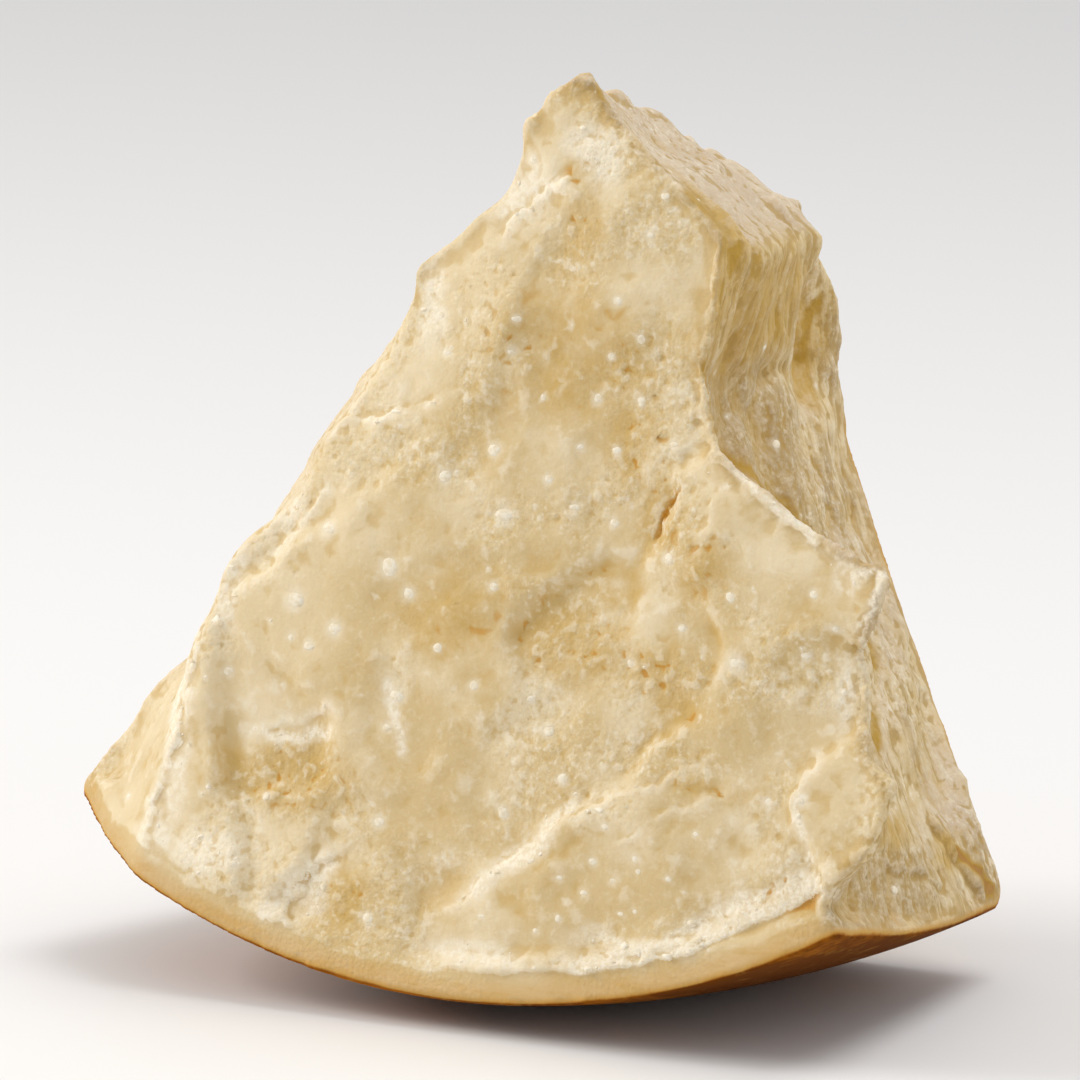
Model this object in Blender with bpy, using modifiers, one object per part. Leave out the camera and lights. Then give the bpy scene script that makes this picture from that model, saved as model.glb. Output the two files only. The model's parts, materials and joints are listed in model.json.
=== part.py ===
"""Wedge of a hard aged cheese, broken out of a round drum and resting on the drum's side rind.

While the wedge is shaped, the drum's axis is the Y axis and the drum's centre is the origin, in
centimetres: the rough break at the drum's mid height faces -Y, the flat rind faces +Y, and the
barrel rind of the side is below. Last, the wedge leans back and gets a small flat spot to rest on,
and its origin becomes the middle of its box, at the bottom.
"""

import math

import bmesh
import bpy
import numpy as np
from mathutils import Matrix, Vector, noise

CM = 0.01
MM_IN_CM = 0.1

# The drum of cheese, in centimetres: its side bulges by the draw and meets the flat rind in a fillet
DRUM_RADIUS = 22.0
HALF_HEIGHT = 12.0
BARREL_DRAW = 1.45
RIM_FILLET = 0.8
DRUM_OVERRUN = 2.0
DRUM_STEPS = 160
BARREL_STEPS = 14
FILLET_STEPS = 6
MERGE_METRES = 0.00001

# How the wedge stands: its lean, and how much of the rind the rest spot presses flat
LEAN_DEGREES = 12.0
REST_CUT = 0.3

# The mesh: voxel size while shaping, softening of thin spikes, and the faces left at the end
VOXEL = 0.15
SOFTEN_FACTOR = 0.4
SOFTEN_TIMES = 2
TRIANGLES = 11200
FLAT_TOLERANCE = 0.004
SLIVER = 0.01

# The paste's plain colour and roughness
PASTE_COLOUR = (0.72, 0.54, 0.28)
PASTE_ROUGHNESS = 0.6

# Edges of the break, as (height, side) in centimetres from the drum's centre, from the top down.
# Each runs on past the rind, where the drum's own surface trims it.
FRONT_RIGHT = (
    (1.5, 1.3), (0.4, 2.3), (-0.6, 3.4), (-2.3, 5.7), (-4.0, 5.7), (-5.5, 5.5), (-7.5, 6.1),
    (-8.0, 6.7), (-9.3, 9.0), (-10.2, 11.4), (-12.0, 10.9), (-14.8, 11.4), (-15.3, 12.1),
    (-17.0, 11.7), (-18.4, 10.2), (-19.1, 10.9), (-24.5, 13.8))
FRONT_LEFT = (
    (1.5, 1.3), (-0.1, -0.5), (-1.4, -0.8), (-2.6, -1.7), (-3.9, -3.1), (-6.4, -4.2), (-8.3, -5.4),
    (-9.5, -5.8), (-11.8, -7.7), (-13.3, -8.0), (-15.5, -8.3), (-17.4, -9.2), (-19.9, -9.3),
    (-24.5, -10.6))
CORE_RIGHT = (
    (0.9, 0.8), (-0.8, 3.1), (-2.5, 5.3), (-4.3, 5.2), (-5.7, 4.5), (-8.0, 5.1), (-10.3, 7.2),
    (-12.0, 8.2), (-15.3, 9.8), (-17.0, 10.1), (-18.4, 10.2), (-19.1, 10.8), (-24.5, 13.5))
CORE_LEFT = (
    (0.9, 0.8), (-2.6, -2.1), (-6.4, -4.8), (-11.8, -8.0), (-13.3, -8.7), (-14.9, -10.5),
    (-17.8, -12.6), (-18.6, -12.4), (-24.5, -14.0))
REAR_RIGHT = (
    (0.0, 0.1), (-0.5, 1.3), (-1.2, 2.9), (-1.9, 3.4), (-3.2, 3.1), (-4.4, 2.5), (-10.6, 5.3),
    (-17.5, 9.0), (-18.8, 9.8), (-24.5, 12.8))
REAR_LEFT = (
    (0.0, 0.1), (-3.0, -2.3), (-7.5, -4.6), (-12.0, -7.8), (-16.5, -10.6), (-24.5, -14.6))
BACK_RIGHT = (
    (-4.6, 0.6), (-4.9, 2.2), (-10.6, 5.1), (-17.5, 8.9), (-18.6, 9.5), (-24.5, 12.6))
BACK_LEFT = (
    (-4.6, 0.6), (-5.3, -2.3), (-9.0, -4.9), (-14.0, -7.6), (-17.9, -10.4), (-24.5, -13.8))

# Depth of each of those pairs of edges behind the front break. At the flake depth, between the
# first two, a flake's thin edge has drawn in by the flake draw's share of the way to the core.
FRONT_DEPTH = 0.0
FLAKE_DEPTH = 0.9
FLAKE_DRAW = 0.45
CORE_DEPTH = 2.2
REAR_DEPTH = 9.6
BACK_DEPTH = 12.6

# Fracture plates of the front break: side, height, how far in they lie (mm), and how much further
# in they go per centimetre to the right and upwards (mm)
FRONT_PLATES = (
    (1.4, -0.6, 0.0, 0.3, 0.5),
    (-0.3, -2.0, 1.6, -1.5, 0.5),
    (-1.6, -4.2, 2.0, -1.9, 0.2),
    (1.7, -4.0, 0.0, -0.3, -0.1),
    (4.4, -3.6, 0.5, 0.6, 0.1),
    (4.1, -6.6, 1.2, 0.3, -0.2),
    (-2.3, -6.2, 2.2, -1.6, 0.2),
    (0.8, -7.4, 0.1, -0.2, 0.0),
    (-3.9, -7.6, 2.7, -1.3, 0.2),
    (-5.6, -9.8, 3.1, -1.2, 0.2),
    (-2.0, -9.9, -0.2, 0.1, 0.2),
    (-4.5, -11.3, -0.4, -0.4, 0.1),
    (-4.6, -13.4, -0.1, -0.4, -0.1),
    (-1.0, -12.6, 0.1, 0.1, 0.1),
    (1.9, -9.9, 0.3, 0.2, 0.1),
    (3.6, -9.0, 1.5, 0.3, 0.0),
    (5.9, -9.2, -1.0, -0.3, 0.3),
    (3.3, -12.0, 2.1, -0.5, 0.5),
    (5.6, -12.4, 1.2, 0.4, -0.2),
    (7.9, -10.9, -1.4, -0.3, 0.2),
    (8.4, -14.0, 0.7, 0.3, -0.2),
    (-6.2, -16.0, 3.2, 0.5, -0.4),
    (-8.4, -16.4, 0.0, -1.4, 0.0),
    (-7.4, -18.8, -0.8, -0.6, 0.5),
    (-5.4, -18.6, 0.6, -0.4, 0.3),
    (-3.6, -19.2, 2.6, -0.5, 0.2),
    (-2.2, -15.6, 1.0, 0.3, -0.3),
    (-0.4, -18.0, 3.2, 0.3, -0.5),
    (1.9, -16.0, 3.0, 0.3, -0.6),
    (4.5, -13.9, 2.8, 0.2, -0.6),
    (1.2, -20.2, 1.7, -0.2, -0.6),
    (3.8, -18.5, 1.5, 0.0, -0.5),
    (6.6, -16.6, 1.2, 0.2, -0.3),
    (8.4, -17.6, 1.8, 0.2, -0.4),
    (10.6, -16.2, -1.0, -0.5, 0.2),
)
# Width of the ledge where two plates meet, and the waves that bend those ledges: size and reach
PLATE_LEDGE = 0.09
PLATE_WARPS = ((2.4, 0.8), (0.8, 0.25))

# Seed of every uneven thing, and what brings the noise functions' values up to about one
NOISE_SEED = 7
NOISE_GAIN = 2.0

# Shards of the whole break: size across (cm), step between neighbours and tilt (mm)
SHARDS = ((4.6, 2.6, 3.2), (2.0, 1.3, 1.9), (0.9, 0.6, 0.9))
SHARD_LEDGE = 20.0
SHARD_OFFSET = Vector((3.1, 7.9, 5.3))
TILT_SPREAD = 5.3
STEP_SPREAD = 7.7

# Grain on the shards: size (cm), depth (mm) and how its finer layers add up
GRAIN_SIZE = 0.5
GRAIN_DEPTH = 0.25
GRAIN_FALLOFF = 1.0
GRAIN_SCALING = 2.0
GRAIN_LAYERS = 3

# How shards stretch on the sides and on the front, and how much of their depth each part takes
SIDE_STRETCH = (1.35, 1.35, 0.6)
FRONT_STRETCH = (1.0, 1.0, 1.0)
FRONT_SHARE = 0.4
SIDE_SHARE = 1.0
FLAKE_SHARE = 0.2
FLAKE_FADE = 0.4

# Where relief starts below the rind's skin, and how squarely a face looks forward to be the front
SKIN_START = 0.12
SKIN_END = 0.35
FRONT_START = 0.45
FRONT_END = 0.85

# The clean rim beside the rind, smooth next to the torn paste: wide on the front, narrow elsewhere
FRONT_RIM = 0.75
SIDE_RIM = 0.2
RIM_WAVER = 0.3
RIM_WAVER_SIZE = 1.3
RIM_FADE = 0.5
RIM_ROUGHNESS = 0.06


def clear_scene():
    for obj in list(bpy.data.objects):
        bpy.data.objects.remove(obj, do_unlink=True)


def new_collection(name):
    collection = bpy.data.collections.new(name)
    bpy.context.scene.collection.children.link(collection)
    return collection


def new_object(name, mesh, collection):
    obj = bpy.data.objects.new(name, mesh)
    collection.objects.link(obj)
    return obj


def mark_as_cutter(obj):
    obj.hide_render = True
    obj.display_type = "WIRE"


def evaluated_mesh(obj):
    """The object's mesh with its modifiers applied."""
    graph = bpy.context.evaluated_depsgraph_get()
    graph.update()
    return bpy.data.meshes.new_from_object(obj.evaluated_get(graph))


def apply_modifiers(obj):
    mesh = evaluated_mesh(obj)
    obj.modifiers.clear()
    obj.data = mesh


def principled(name, colour, roughness):
    material = bpy.data.materials.new(name)
    material.use_nodes = True
    shader = material.node_tree.nodes["Principled BSDF"]
    shader.inputs["Base Color"].default_value = (*colour, 1.0)
    shader.inputs["Roughness"].default_value = roughness
    shader.inputs["Metallic"].default_value = 0.0
    return material


def rind_radius(depth):
    """Radius of the barrel-shaped side at a depth from the drum's mid height."""
    return DRUM_RADIUS - BARREL_DRAW * (depth / HALF_HEIGHT) ** 2


def make_drum(collection):
    """Half of the drum as a turned profile, a little past its mid height, on the Y axis."""
    rim_depth = HALF_HEIGHT - RIM_FILLET
    rim_side = rind_radius(rim_depth) - RIM_FILLET
    profile = [(0.0, HALF_HEIGHT)]
    for step in range(FILLET_STEPS + 1):
        angle = math.radians(90.0 * (1.0 - step / FILLET_STEPS))
        side = rim_side + RIM_FILLET * math.cos(angle)
        profile.append((side, rim_depth + RIM_FILLET * math.sin(angle)))
    for step in range(1, BARREL_STEPS + 1):
        depth = rim_depth - (rim_depth + DRUM_OVERRUN) * step / BARREL_STEPS
        profile.append((rind_radius(depth), depth))
    profile.append((0.0, -DRUM_OVERRUN))
    mesh = bpy.data.meshes.new("drum_half")
    edges = [(index, index + 1) for index in range(len(profile) - 1)]
    mesh.from_pydata([(side * CM, 0.0, up * CM) for side, up in profile], edges, [])
    drum = new_object("drum_half", mesh, collection)
    turn = drum.modifiers.new("Turn", "SCREW")
    turn.axis = "Z"
    turn.steps = DRUM_STEPS
    turn.render_steps = DRUM_STEPS
    turn.use_merge_vertices = True
    turn.merge_threshold = MERGE_METRES
    drum.rotation_euler = (math.radians(-90.0), 0.0, 0.0)
    mark_as_cutter(drum)
    return drum


def rows_of(edge):
    """Where an edge's own corners are, as shares of its height from the top down."""
    top = edge[0][0]
    foot = edge[-1][0]
    return [(top - height) / (top - foot) for height, side in edge]


def edge_side(edge, height):
    """How far to the side an edge lies at a height."""
    drops = [-corner[0] for corner in edge]
    sides = [corner[1] for corner in edge]
    return float(np.interp(-height, drops, sides))


def edge_points(edge, rows):
    """An edge read at shares of its height, as (side, height)."""
    top = edge[0][0]
    foot = edge[-1][0]
    heights = [top + (foot - top) * row for row in rows]
    return [(edge_side(edge, height), height) for height in heights]


def blend_points(first, second, share):
    return [(near[0] + share * (far[0] - near[0]), near[1] + share * (far[1] - near[1]))
            for near, far in zip(first, second)]


def make_break_block(collection):
    """The block between the broken faces, lofted from front to back, past the rind below."""
    right_rows = rows_of(FRONT_RIGHT)
    left_rows = rows_of(FRONT_LEFT)
    outlines = []
    for right, left in ((FRONT_RIGHT, FRONT_LEFT), (CORE_RIGHT, CORE_LEFT),
                        (REAR_RIGHT, REAR_LEFT), (BACK_RIGHT, BACK_LEFT)):
        outlines.append(edge_points(right, right_rows) + edge_points(left, left_rows)[:0:-1])
    front, core, rear, back = outlines
    flake = blend_points(front, core, FLAKE_DRAW)
    sections = ((FRONT_DEPTH, front), (FLAKE_DEPTH, flake), (CORE_DEPTH, core),
                (REAR_DEPTH, rear), (BACK_DEPTH, back))
    block = bmesh.new()
    rings = []
    for depth, outline in sections:
        rings.append([block.verts.new((side * CM, depth * CM, height * CM))
                      for side, height in outline])
    count = len(front)
    for near, far in zip(rings, rings[1:]):
        for index in range(count):
            after = (index + 1) % count
            block.faces.new((near[index], near[after], far[after], far[index]))
    block.faces.new(rings[0])
    block.faces.new(list(reversed(rings[-1])))
    bmesh.ops.recalc_face_normals(block, faces=block.faces)
    bmesh.ops.triangulate(block, faces=block.faces)
    mesh = bpy.data.meshes.new("break_block")
    block.to_mesh(mesh)
    block.free()
    return new_object("break_block", mesh, collection)


def smooth_step(low, high, value):
    share = min(1.0, max(0.0, (value - low) / (high - low)))
    return share * share * (3.0 - 2.0 * share)


def rind_distance(place):
    """How far a point lies inside the drum's skin, in centimetres."""
    side = rind_radius(place.y) - math.hypot(place.x, place.z)
    return min(side, HALF_HEIGHT - place.y)


def front_plate_depth(place):
    """How far in (mm) the front break lies: planes with ledges where they meet."""
    bend = Vector()
    for size, reach in PLATE_WARPS:
        bend += noise.noise_vector(place / size) * reach
    side = place.x + bend.x
    height = place.z + bend.z
    distances = [math.hypot(side - plate[0], height - plate[1]) for plate in FRONT_PLATES]
    nearest = min(distances)
    total = 0.0
    weights = 0.0
    for distance, plate in zip(distances, FRONT_PLATES):
        weight = math.exp(-(distance - nearest) / PLATE_LEDGE)
        plane = plate[2] + plate[3] * (place.x - plate[0]) + plate[4] * (place.z - plate[1])
        total += weight * plane
        weights += weight
    return total / weights


def shard_depth(place, size, step, tilt, seed):
    """How far in (mm) a point lies on tilted shards about as large as size."""
    spot = place / size + seed
    distances, centres = noise.voronoi(spot)
    total = 0.0
    weights = 0.0
    for distance, centre in zip(distances, centres):
        weight = math.exp(-(distance - distances[0]) * SHARD_LEDGE)
        slope = noise.noise_vector(centre * TILT_SPREAD + seed)
        level = noise.noise(centre * STEP_SPREAD + seed)
        total += weight * (step * level + tilt * slope.dot(spot - centre))
        weights += weight
    return NOISE_GAIN * total / weights


def torn_depth(place, stretch):
    """How far in (mm) the torn paste lies from all sizes of shard and from its grain."""
    spot = Vector([value * factor for value, factor in zip(place, stretch)])
    depth = 0.0
    for number, (size, step, tilt) in enumerate(SHARDS):
        depth += shard_depth(spot, size, step, tilt, SHARD_OFFSET * (number + 1))
    grain = noise.fractal(spot / GRAIN_SIZE, GRAIN_FALLOFF, GRAIN_SCALING, GRAIN_LAYERS)
    return depth + GRAIN_DEPTH * NOISE_GAIN * grain


def relief(place, normal):
    """How far in (cm) the surface goes at a point of the smooth wedge."""
    inside = rind_distance(place)
    paste = smooth_step(SKIN_START, SKIN_END, inside)
    front = smooth_step(FRONT_START, FRONT_END, -normal.y)
    rim = SIDE_RIM + (FRONT_RIM - SIDE_RIM) * front + RIM_WAVER * noise.noise(place / RIM_WAVER_SIZE)
    torn = RIM_ROUGHNESS + (1.0 - RIM_ROUGHNESS) * smooth_step(rim, rim + RIM_FADE, inside)
    flake = smooth_step(0.0, FLAKE_FADE, place.x - edge_side(CORE_RIGHT, place.z))
    side_share = SIDE_SHARE + (FLAKE_SHARE - SIDE_SHARE) * flake
    depth = (1.0 - front) * side_share * torn_depth(place, SIDE_STRETCH)
    if front > 0.0:
        plates = front_plate_depth(place)
        depth += front * (plates + FRONT_SHARE * torn_depth(place, FRONT_STRETCH))
    return paste * torn * depth * MM_IN_CM


def tear_surface(obj):
    """Push the smooth wedge's broken faces in and out into plates and shards."""
    mesh = obj.data
    places = [vertex.co / CM for vertex in mesh.vertices]
    normals = [vertex.normal.copy() for vertex in mesh.vertices]
    for vertex, place, normal in zip(mesh.vertices, places, normals):
        vertex.co = (place - normal * relief(place, normal)) * CM
    mesh.update()


def add_voxels(obj):
    """Mesh the object afresh in faces of one size."""
    remesh = obj.modifiers.new("Even mesh", "REMESH")
    remesh.mode = "VOXEL"
    remesh.voxel_size = VOXEL * CM


def drop_scraps(obj):
    """Keep only the largest of the mesh's separate bodies."""
    work = bmesh.new()
    work.from_mesh(obj.data)
    waiting = set(work.verts)
    bodies = []
    while waiting:
        body = set()
        reached = [waiting.pop()]
        while reached:
            vertex = reached.pop()
            body.add(vertex)
            for edge in vertex.link_edges:
                other = edge.other_vert(vertex)
                if other in waiting:
                    waiting.remove(other)
                    reached.append(other)
        bodies.append(body)
    bodies.sort(key=len)
    scraps = [vertex for body in bodies[:-1] for vertex in body]
    bmesh.ops.delete(work, geom=scraps, context="VERTS")
    work.to_mesh(obj.data)
    work.free()


def soften_spikes(obj):
    soften = obj.modifiers.new("Softer spikes", "SMOOTH")
    soften.factor = SOFTEN_FACTOR
    soften.iterations = SOFTEN_TIMES


def stand_up(obj):
    """Lean the wedge back, press its lowest stretch of rind flat, and say how far it was raised."""
    obj.data.transform(Matrix.Rotation(math.radians(-LEAN_DEGREES), 4, "X"))
    lowest = min(vertex.co.z for vertex in obj.data.vertices)
    raised = Vector((0.0, 0.0, -lowest - REST_CUT * CM))
    obj.data.transform(Matrix.Translation(raised))
    flatten_foot(obj, 0.0)
    return raised


def flatten_foot(obj, tolerance):
    """Put everything lower than the tolerance on the ground."""
    for vertex in obj.data.vertices:
        if vertex.co.z < tolerance:
            vertex.co.z = 0.0
    obj.data.update()


def join_foot(obj):
    """Drop slivers and make one flat face of the rest spot."""
    work = bmesh.new()
    work.from_mesh(obj.data)
    bmesh.ops.dissolve_degenerate(work, dist=SLIVER * CM, edges=work.edges)
    flat = [face for face in work.faces if all(vertex.co.z == 0.0 for vertex in face.verts)]
    bmesh.ops.dissolve_faces(work, faces=flat)
    work.to_mesh(obj.data)
    work.free()


def centre_on_foot(obj):
    """Put the middle of the object's box over the origin, and say how far that moved it."""
    corners = np.array([vertex.co[:] for vertex in obj.data.vertices])
    middle = (corners.min(axis=0) + corners.max(axis=0)) / 2.0
    moved = Vector((-middle[0], -middle[1], 0.0))
    obj.data.transform(Matrix.Translation(moved))
    return moved


def make_wedge(collection, cutters):
    drum = make_drum(cutters)
    wedge = make_break_block(collection)
    wedge.name = "cheese_wedge"
    trim = wedge.modifiers.new("Drum's skin", "BOOLEAN")
    trim.operation = "INTERSECT"
    trim.object = drum
    add_voxels(wedge)
    apply_modifiers(wedge)
    tear_surface(wedge)
    add_voxels(wedge)
    soften_spikes(wedge)
    apply_modifiers(wedge)
    drop_scraps(wedge)
    drum_centre = stand_up(wedge)
    thin = wedge.modifiers.new("Fewer faces", "DECIMATE")
    thin.ratio = TRIANGLES / (2 * len(wedge.data.polygons))
    thin.use_collapse_triangulate = True
    apply_modifiers(wedge)
    flatten_foot(wedge, FLAT_TOLERANCE * CM)
    join_foot(wedge)
    drum_centre += centre_on_foot(wedge)
    print("drum's centre at", [round(value, 5) for value in drum_centre])
    wedge.data.materials.clear()
    wedge.data.materials.append(principled("cheese_paste", PASTE_COLOUR, PASTE_ROUGHNESS))


def main():
    clear_scene()
    noise.seed_set(NOISE_SEED)
    parts = new_collection("Cheese wedge")
    cutters = new_collection("Cutters")
    make_wedge(parts, cutters)


main()
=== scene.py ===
# %% [markdown]
# # A wedge of aged hard cheese
#
# This lesson dresses a plain solid of a broken cheese wedge so that it looks like the real food.
# The solid comes ready made, as the frame that this script loads. It is right in size and outline,
# but its faces are a few millimetres wide and it has one flat colour. Here it gets fine flakes and
# crumbs, a smooth rind, white crystals and a paste that changes colour from place to place.

# %% Load the frame
import itertools
import json
import math

import bmesh
import bpy
import numpy as np
from mathutils import Matrix, Vector
from mathutils.bvhtree import BVHTree
from mathutils.kdtree import KDTree

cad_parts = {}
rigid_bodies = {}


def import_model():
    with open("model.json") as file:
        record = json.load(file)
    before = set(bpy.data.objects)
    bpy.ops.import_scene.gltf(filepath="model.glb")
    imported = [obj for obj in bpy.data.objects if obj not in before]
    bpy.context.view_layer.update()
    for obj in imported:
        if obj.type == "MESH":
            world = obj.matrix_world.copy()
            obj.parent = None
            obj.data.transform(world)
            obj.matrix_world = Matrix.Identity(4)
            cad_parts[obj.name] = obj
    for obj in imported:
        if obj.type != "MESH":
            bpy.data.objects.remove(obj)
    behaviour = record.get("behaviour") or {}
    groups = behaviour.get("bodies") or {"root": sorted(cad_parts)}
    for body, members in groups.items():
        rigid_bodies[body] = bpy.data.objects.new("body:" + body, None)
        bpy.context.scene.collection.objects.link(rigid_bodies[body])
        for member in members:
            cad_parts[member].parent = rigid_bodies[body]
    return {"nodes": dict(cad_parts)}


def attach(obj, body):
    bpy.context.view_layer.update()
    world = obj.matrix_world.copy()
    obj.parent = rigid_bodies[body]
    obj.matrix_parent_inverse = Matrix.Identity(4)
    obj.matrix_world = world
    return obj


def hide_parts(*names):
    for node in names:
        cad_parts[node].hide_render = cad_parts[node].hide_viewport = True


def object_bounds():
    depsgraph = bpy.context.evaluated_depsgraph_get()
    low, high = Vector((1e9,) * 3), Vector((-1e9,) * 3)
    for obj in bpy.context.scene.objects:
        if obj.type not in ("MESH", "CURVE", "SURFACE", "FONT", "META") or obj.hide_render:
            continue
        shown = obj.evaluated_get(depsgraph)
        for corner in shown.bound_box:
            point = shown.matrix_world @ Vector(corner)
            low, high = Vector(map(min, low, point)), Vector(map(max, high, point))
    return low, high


for leftover in list(bpy.data.objects):
    bpy.data.objects.remove(leftover, do_unlink=True)

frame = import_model()
CAD_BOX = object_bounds()
SOLID = frame["nodes"]["cheese_wedge"]
print("the solid has", len(SOLID.data.polygons), "faces and is",
      [round((high - low) * 1000) for low, high in zip(*CAD_BOX)], "mm")

# %% [markdown]
# ## Where the wedge was in its drum
#
# The wedge was broken out of a drum of cheese 44 cm across and 24 cm high. Its rind is still the
# drum's skin, and the way it tears follows the drum too, so most of what comes below is easier to
# say in the drum's own directions: centimetres from the drum's centre, x to the side, y from the
# wide break at mid height (0) back to the flat rind (12), z up. The wedge leans back by 12 degrees,
# so a point of the frame is moved to the drum's centre and turned back by that lean.

# %% The drum's directions
CM = 0.01
MM = 0.001
DRUM_CENTRE = Vector((0.0022, -0.03203, 0.2232))
LEAN = math.radians(12.0)
DRUM_RADIUS = 22.0
HALF_HEIGHT = 12.0
BARREL_DRAW = 1.45
RIM_ROUND = 0.8
LEAN_TURN = np.array(Matrix.Rotation(LEAN, 3, "X"))


def to_drum(points):
    """Points of the frame, in metres, as centimetres from the drum's centre."""
    return (np.asarray(points) - np.array(DRUM_CENTRE)) @ LEAN_TURN.T / CM


def to_frame(places):
    """Centimetres from the drum's centre as points of the frame, in metres."""
    return np.asarray(places) * CM @ LEAN_TURN + np.array(DRUM_CENTRE)


def rind_radius(depth):
    """The drum's radius at a depth: its side bulges at mid height."""
    return DRUM_RADIUS - BARREL_DRAW * (depth / HALF_HEIGHT) ** 2


def under_skin(places):
    """How many centimetres a place lies inside the drum's skin, whose rim is rounded."""
    side = rind_radius(places[:, 1]) - np.hypot(places[:, 0], places[:, 2])
    flat = HALF_HEIGHT - places[:, 1]
    nearer = np.minimum(side, flat)
    corner = np.hypot(np.maximum(RIM_ROUND - side, 0.0), np.maximum(RIM_ROUND - flat, 0.0))
    return np.where(nearer < RIM_ROUND, RIM_ROUND - corner, nearer)


def mesh_points(piece):
    """A piece's vertices as an array, in metres."""
    points = np.empty(len(piece.data.vertices) * 3, np.float32)
    piece.data.vertices.foreach_get("co", points)
    return points.reshape(-1, 3).astype(float)


def mesh_normals(piece):
    """A piece's vertex normals as an array."""
    normals = np.empty(len(piece.data.vertices) * 3, np.float32)
    piece.data.vertex_normals.foreach_get("vector", normals)
    return normals.reshape(-1, 3).astype(float)


def above_floor(points):
    """Points with those under the floor lifted onto it."""
    return np.maximum(points, (-np.inf, -np.inf, 0.0))


def set_points(piece, points):
    """Give a piece's vertices new places."""
    piece.data.vertices.foreach_set("co", points.astype(np.float32).ravel())
    piece.data.update()


depths = under_skin(to_drum(mesh_points(SOLID)))
print("the solid's skin lies within", round(float(np.abs(depths.min())) * 10, 2), "mm of the drum")

# %% [markdown]
# ## The camera
#
# The camera comes before any detail, because it says which details can be seen. It stands three
# metres off, turned 30 degrees to the wedge's left and looking down by 9.3 degrees, as in the
# photograph. From that far, lines hardly run together, which is what makes the picture calm. A long
# lens then fills the frame with the wedge.

# %% Place the camera
EYE_TURN = math.radians(30.0)
EYE_DROP = math.radians(9.3)
EYE_DISTANCE = 3.12
EYE_AIM_DOWN = 0.104
EYE_AIM_RIGHT = 0.0014
LENS_MM = 417.0

across = Vector((math.cos(EYE_TURN), math.sin(EYE_TURN), 0.0))
ahead = Vector((-math.sin(EYE_TURN) * math.cos(EYE_DROP),
                math.cos(EYE_TURN) * math.cos(EYE_DROP), -math.sin(EYE_DROP)))
upward = across.cross(ahead)
eye = DRUM_CENTRE - ahead * EYE_DISTANCE
aim = DRUM_CENTRE - upward * EYE_AIM_DOWN + across * EYE_AIM_RIGHT

camera_data = bpy.data.cameras.new("photograph_view")
camera = bpy.data.objects.new("photograph_view", camera_data)
bpy.context.scene.collection.objects.link(camera)
camera.location = eye
camera.rotation_euler = (aim - eye).to_track_quat("-Z", "Y").to_euler()
camera_data.lens = LENS_MM
camera_data.sensor_width = 36.0
camera_data.clip_start = 0.1
camera_data.clip_end = 20.0
bpy.context.scene.camera = camera
print("the camera stands at", [round(value, 2) for value in eye])

# %% [markdown]
# ## Floor and light
#
# A broken cheese has no strong colours and few dark places, so hard light would only flatten it. A
# large soft panel above and to the left picks out the ledges. A weak one at the right keeps the torn
# side readable, a cooler one overhead lights the top, and a pale sky fills the rest. The floor is
# pale and matt. The Standard view is used, so that a colour chosen in a material is the colour seen.

# %% Build the floor and the lights
FLOOR_SIZE, FLOOR_GAP = 6.0, 0.0002
FLOOR_COLOUR, FLOOR_ROUGHNESS = (0.80, 0.785, 0.765), 0.8
SKY_COLOUR, SKY_STRENGTH = (0.95, 0.97, 1.0, 1.0), 0.61
MIDDLE = (CAD_BOX[0] + CAD_BOX[1]) / 2
PANELS = (  # name, place, width, watts, colour
    ("left_panel", (-1.75, -0.7, 1.15), 1.1, 28.8, (1.0, 0.965, 0.92)),
    ("right_panel", (1.5, -0.7, 0.8), 1.0, 2.6, (1.0, 0.97, 0.93)),
    ("top_panel", (0.5, 0.3, 1.7), 1.0, 13.0, (0.98, 0.98, 1.0)),
)


def plain_material(name, colour, roughness):
    """A material of one colour, as a start."""
    material = bpy.data.materials.new(name)
    material.use_nodes = True
    shader = material.node_tree.nodes["Principled BSDF"]
    shader.inputs["Base Color"].default_value = (*colour, 1.0)
    shader.inputs["Roughness"].default_value = roughness
    return material


bpy.ops.object.select_all(action="DESELECT")
bpy.ops.mesh.primitive_plane_add(size=FLOOR_SIZE, location=(0.0, 0.0, -FLOOR_GAP))
floor = bpy.context.active_object
floor.name = "pale_floor"
floor.data.materials.append(plain_material("pale_floor", FLOOR_COLOUR, FLOOR_ROUGHNESS))

for name, place, width, watts, colour in PANELS:
    data = bpy.data.lights.new(name, "AREA")
    data.shape = "SQUARE"
    data.size = width
    data.energy = watts
    data.color = colour
    lamp = bpy.data.objects.new(name, data)
    bpy.context.scene.collection.objects.link(lamp)
    lamp.location = place
    lamp.rotation_euler = (Vector(MIDDLE) - Vector(place)).to_track_quat("-Z", "Y").to_euler()

world = bpy.data.worlds.new("pale_sky")
world.use_nodes = True
sky = world.node_tree.nodes["Background"]
sky.inputs["Color"].default_value = SKY_COLOUR
sky.inputs["Strength"].default_value = SKY_STRENGTH
bpy.context.scene.world = world
bpy.context.scene.view_settings.view_transform = "Standard"
print("the middle of the wedge is lit by", len(PANELS), "panels")

# %% [markdown]
# ## The body
#
# The real wedge is one solid lump, so one skin is enough. A copy of the solid's mesh is merged, its
# edges along the rind are creased, and a subdivision surface rounds the facets everywhere else. A
# voxel remesh then lays an even net of small squares over it, fine enough to carry flakes and grain.
# Starting from the solid keeps the outline true, which sculpting from a ball would not.

# %% Copy, round and remesh the solid
NET_SIZE = 0.8 * MM
MERGE_DISTANCE = 0.00001
BLUNT_ANGLE, SHARP_ANGLE = math.radians(22.0), math.radians(48.0)
BREAK_CREASE = 0.85
NEAR_SKIN = 0.12


def select_only(piece):
    """Select one piece and nothing else."""
    bpy.ops.object.select_all(action="DESELECT")
    piece.select_set(True)
    bpy.context.view_layer.objects.active = piece


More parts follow.
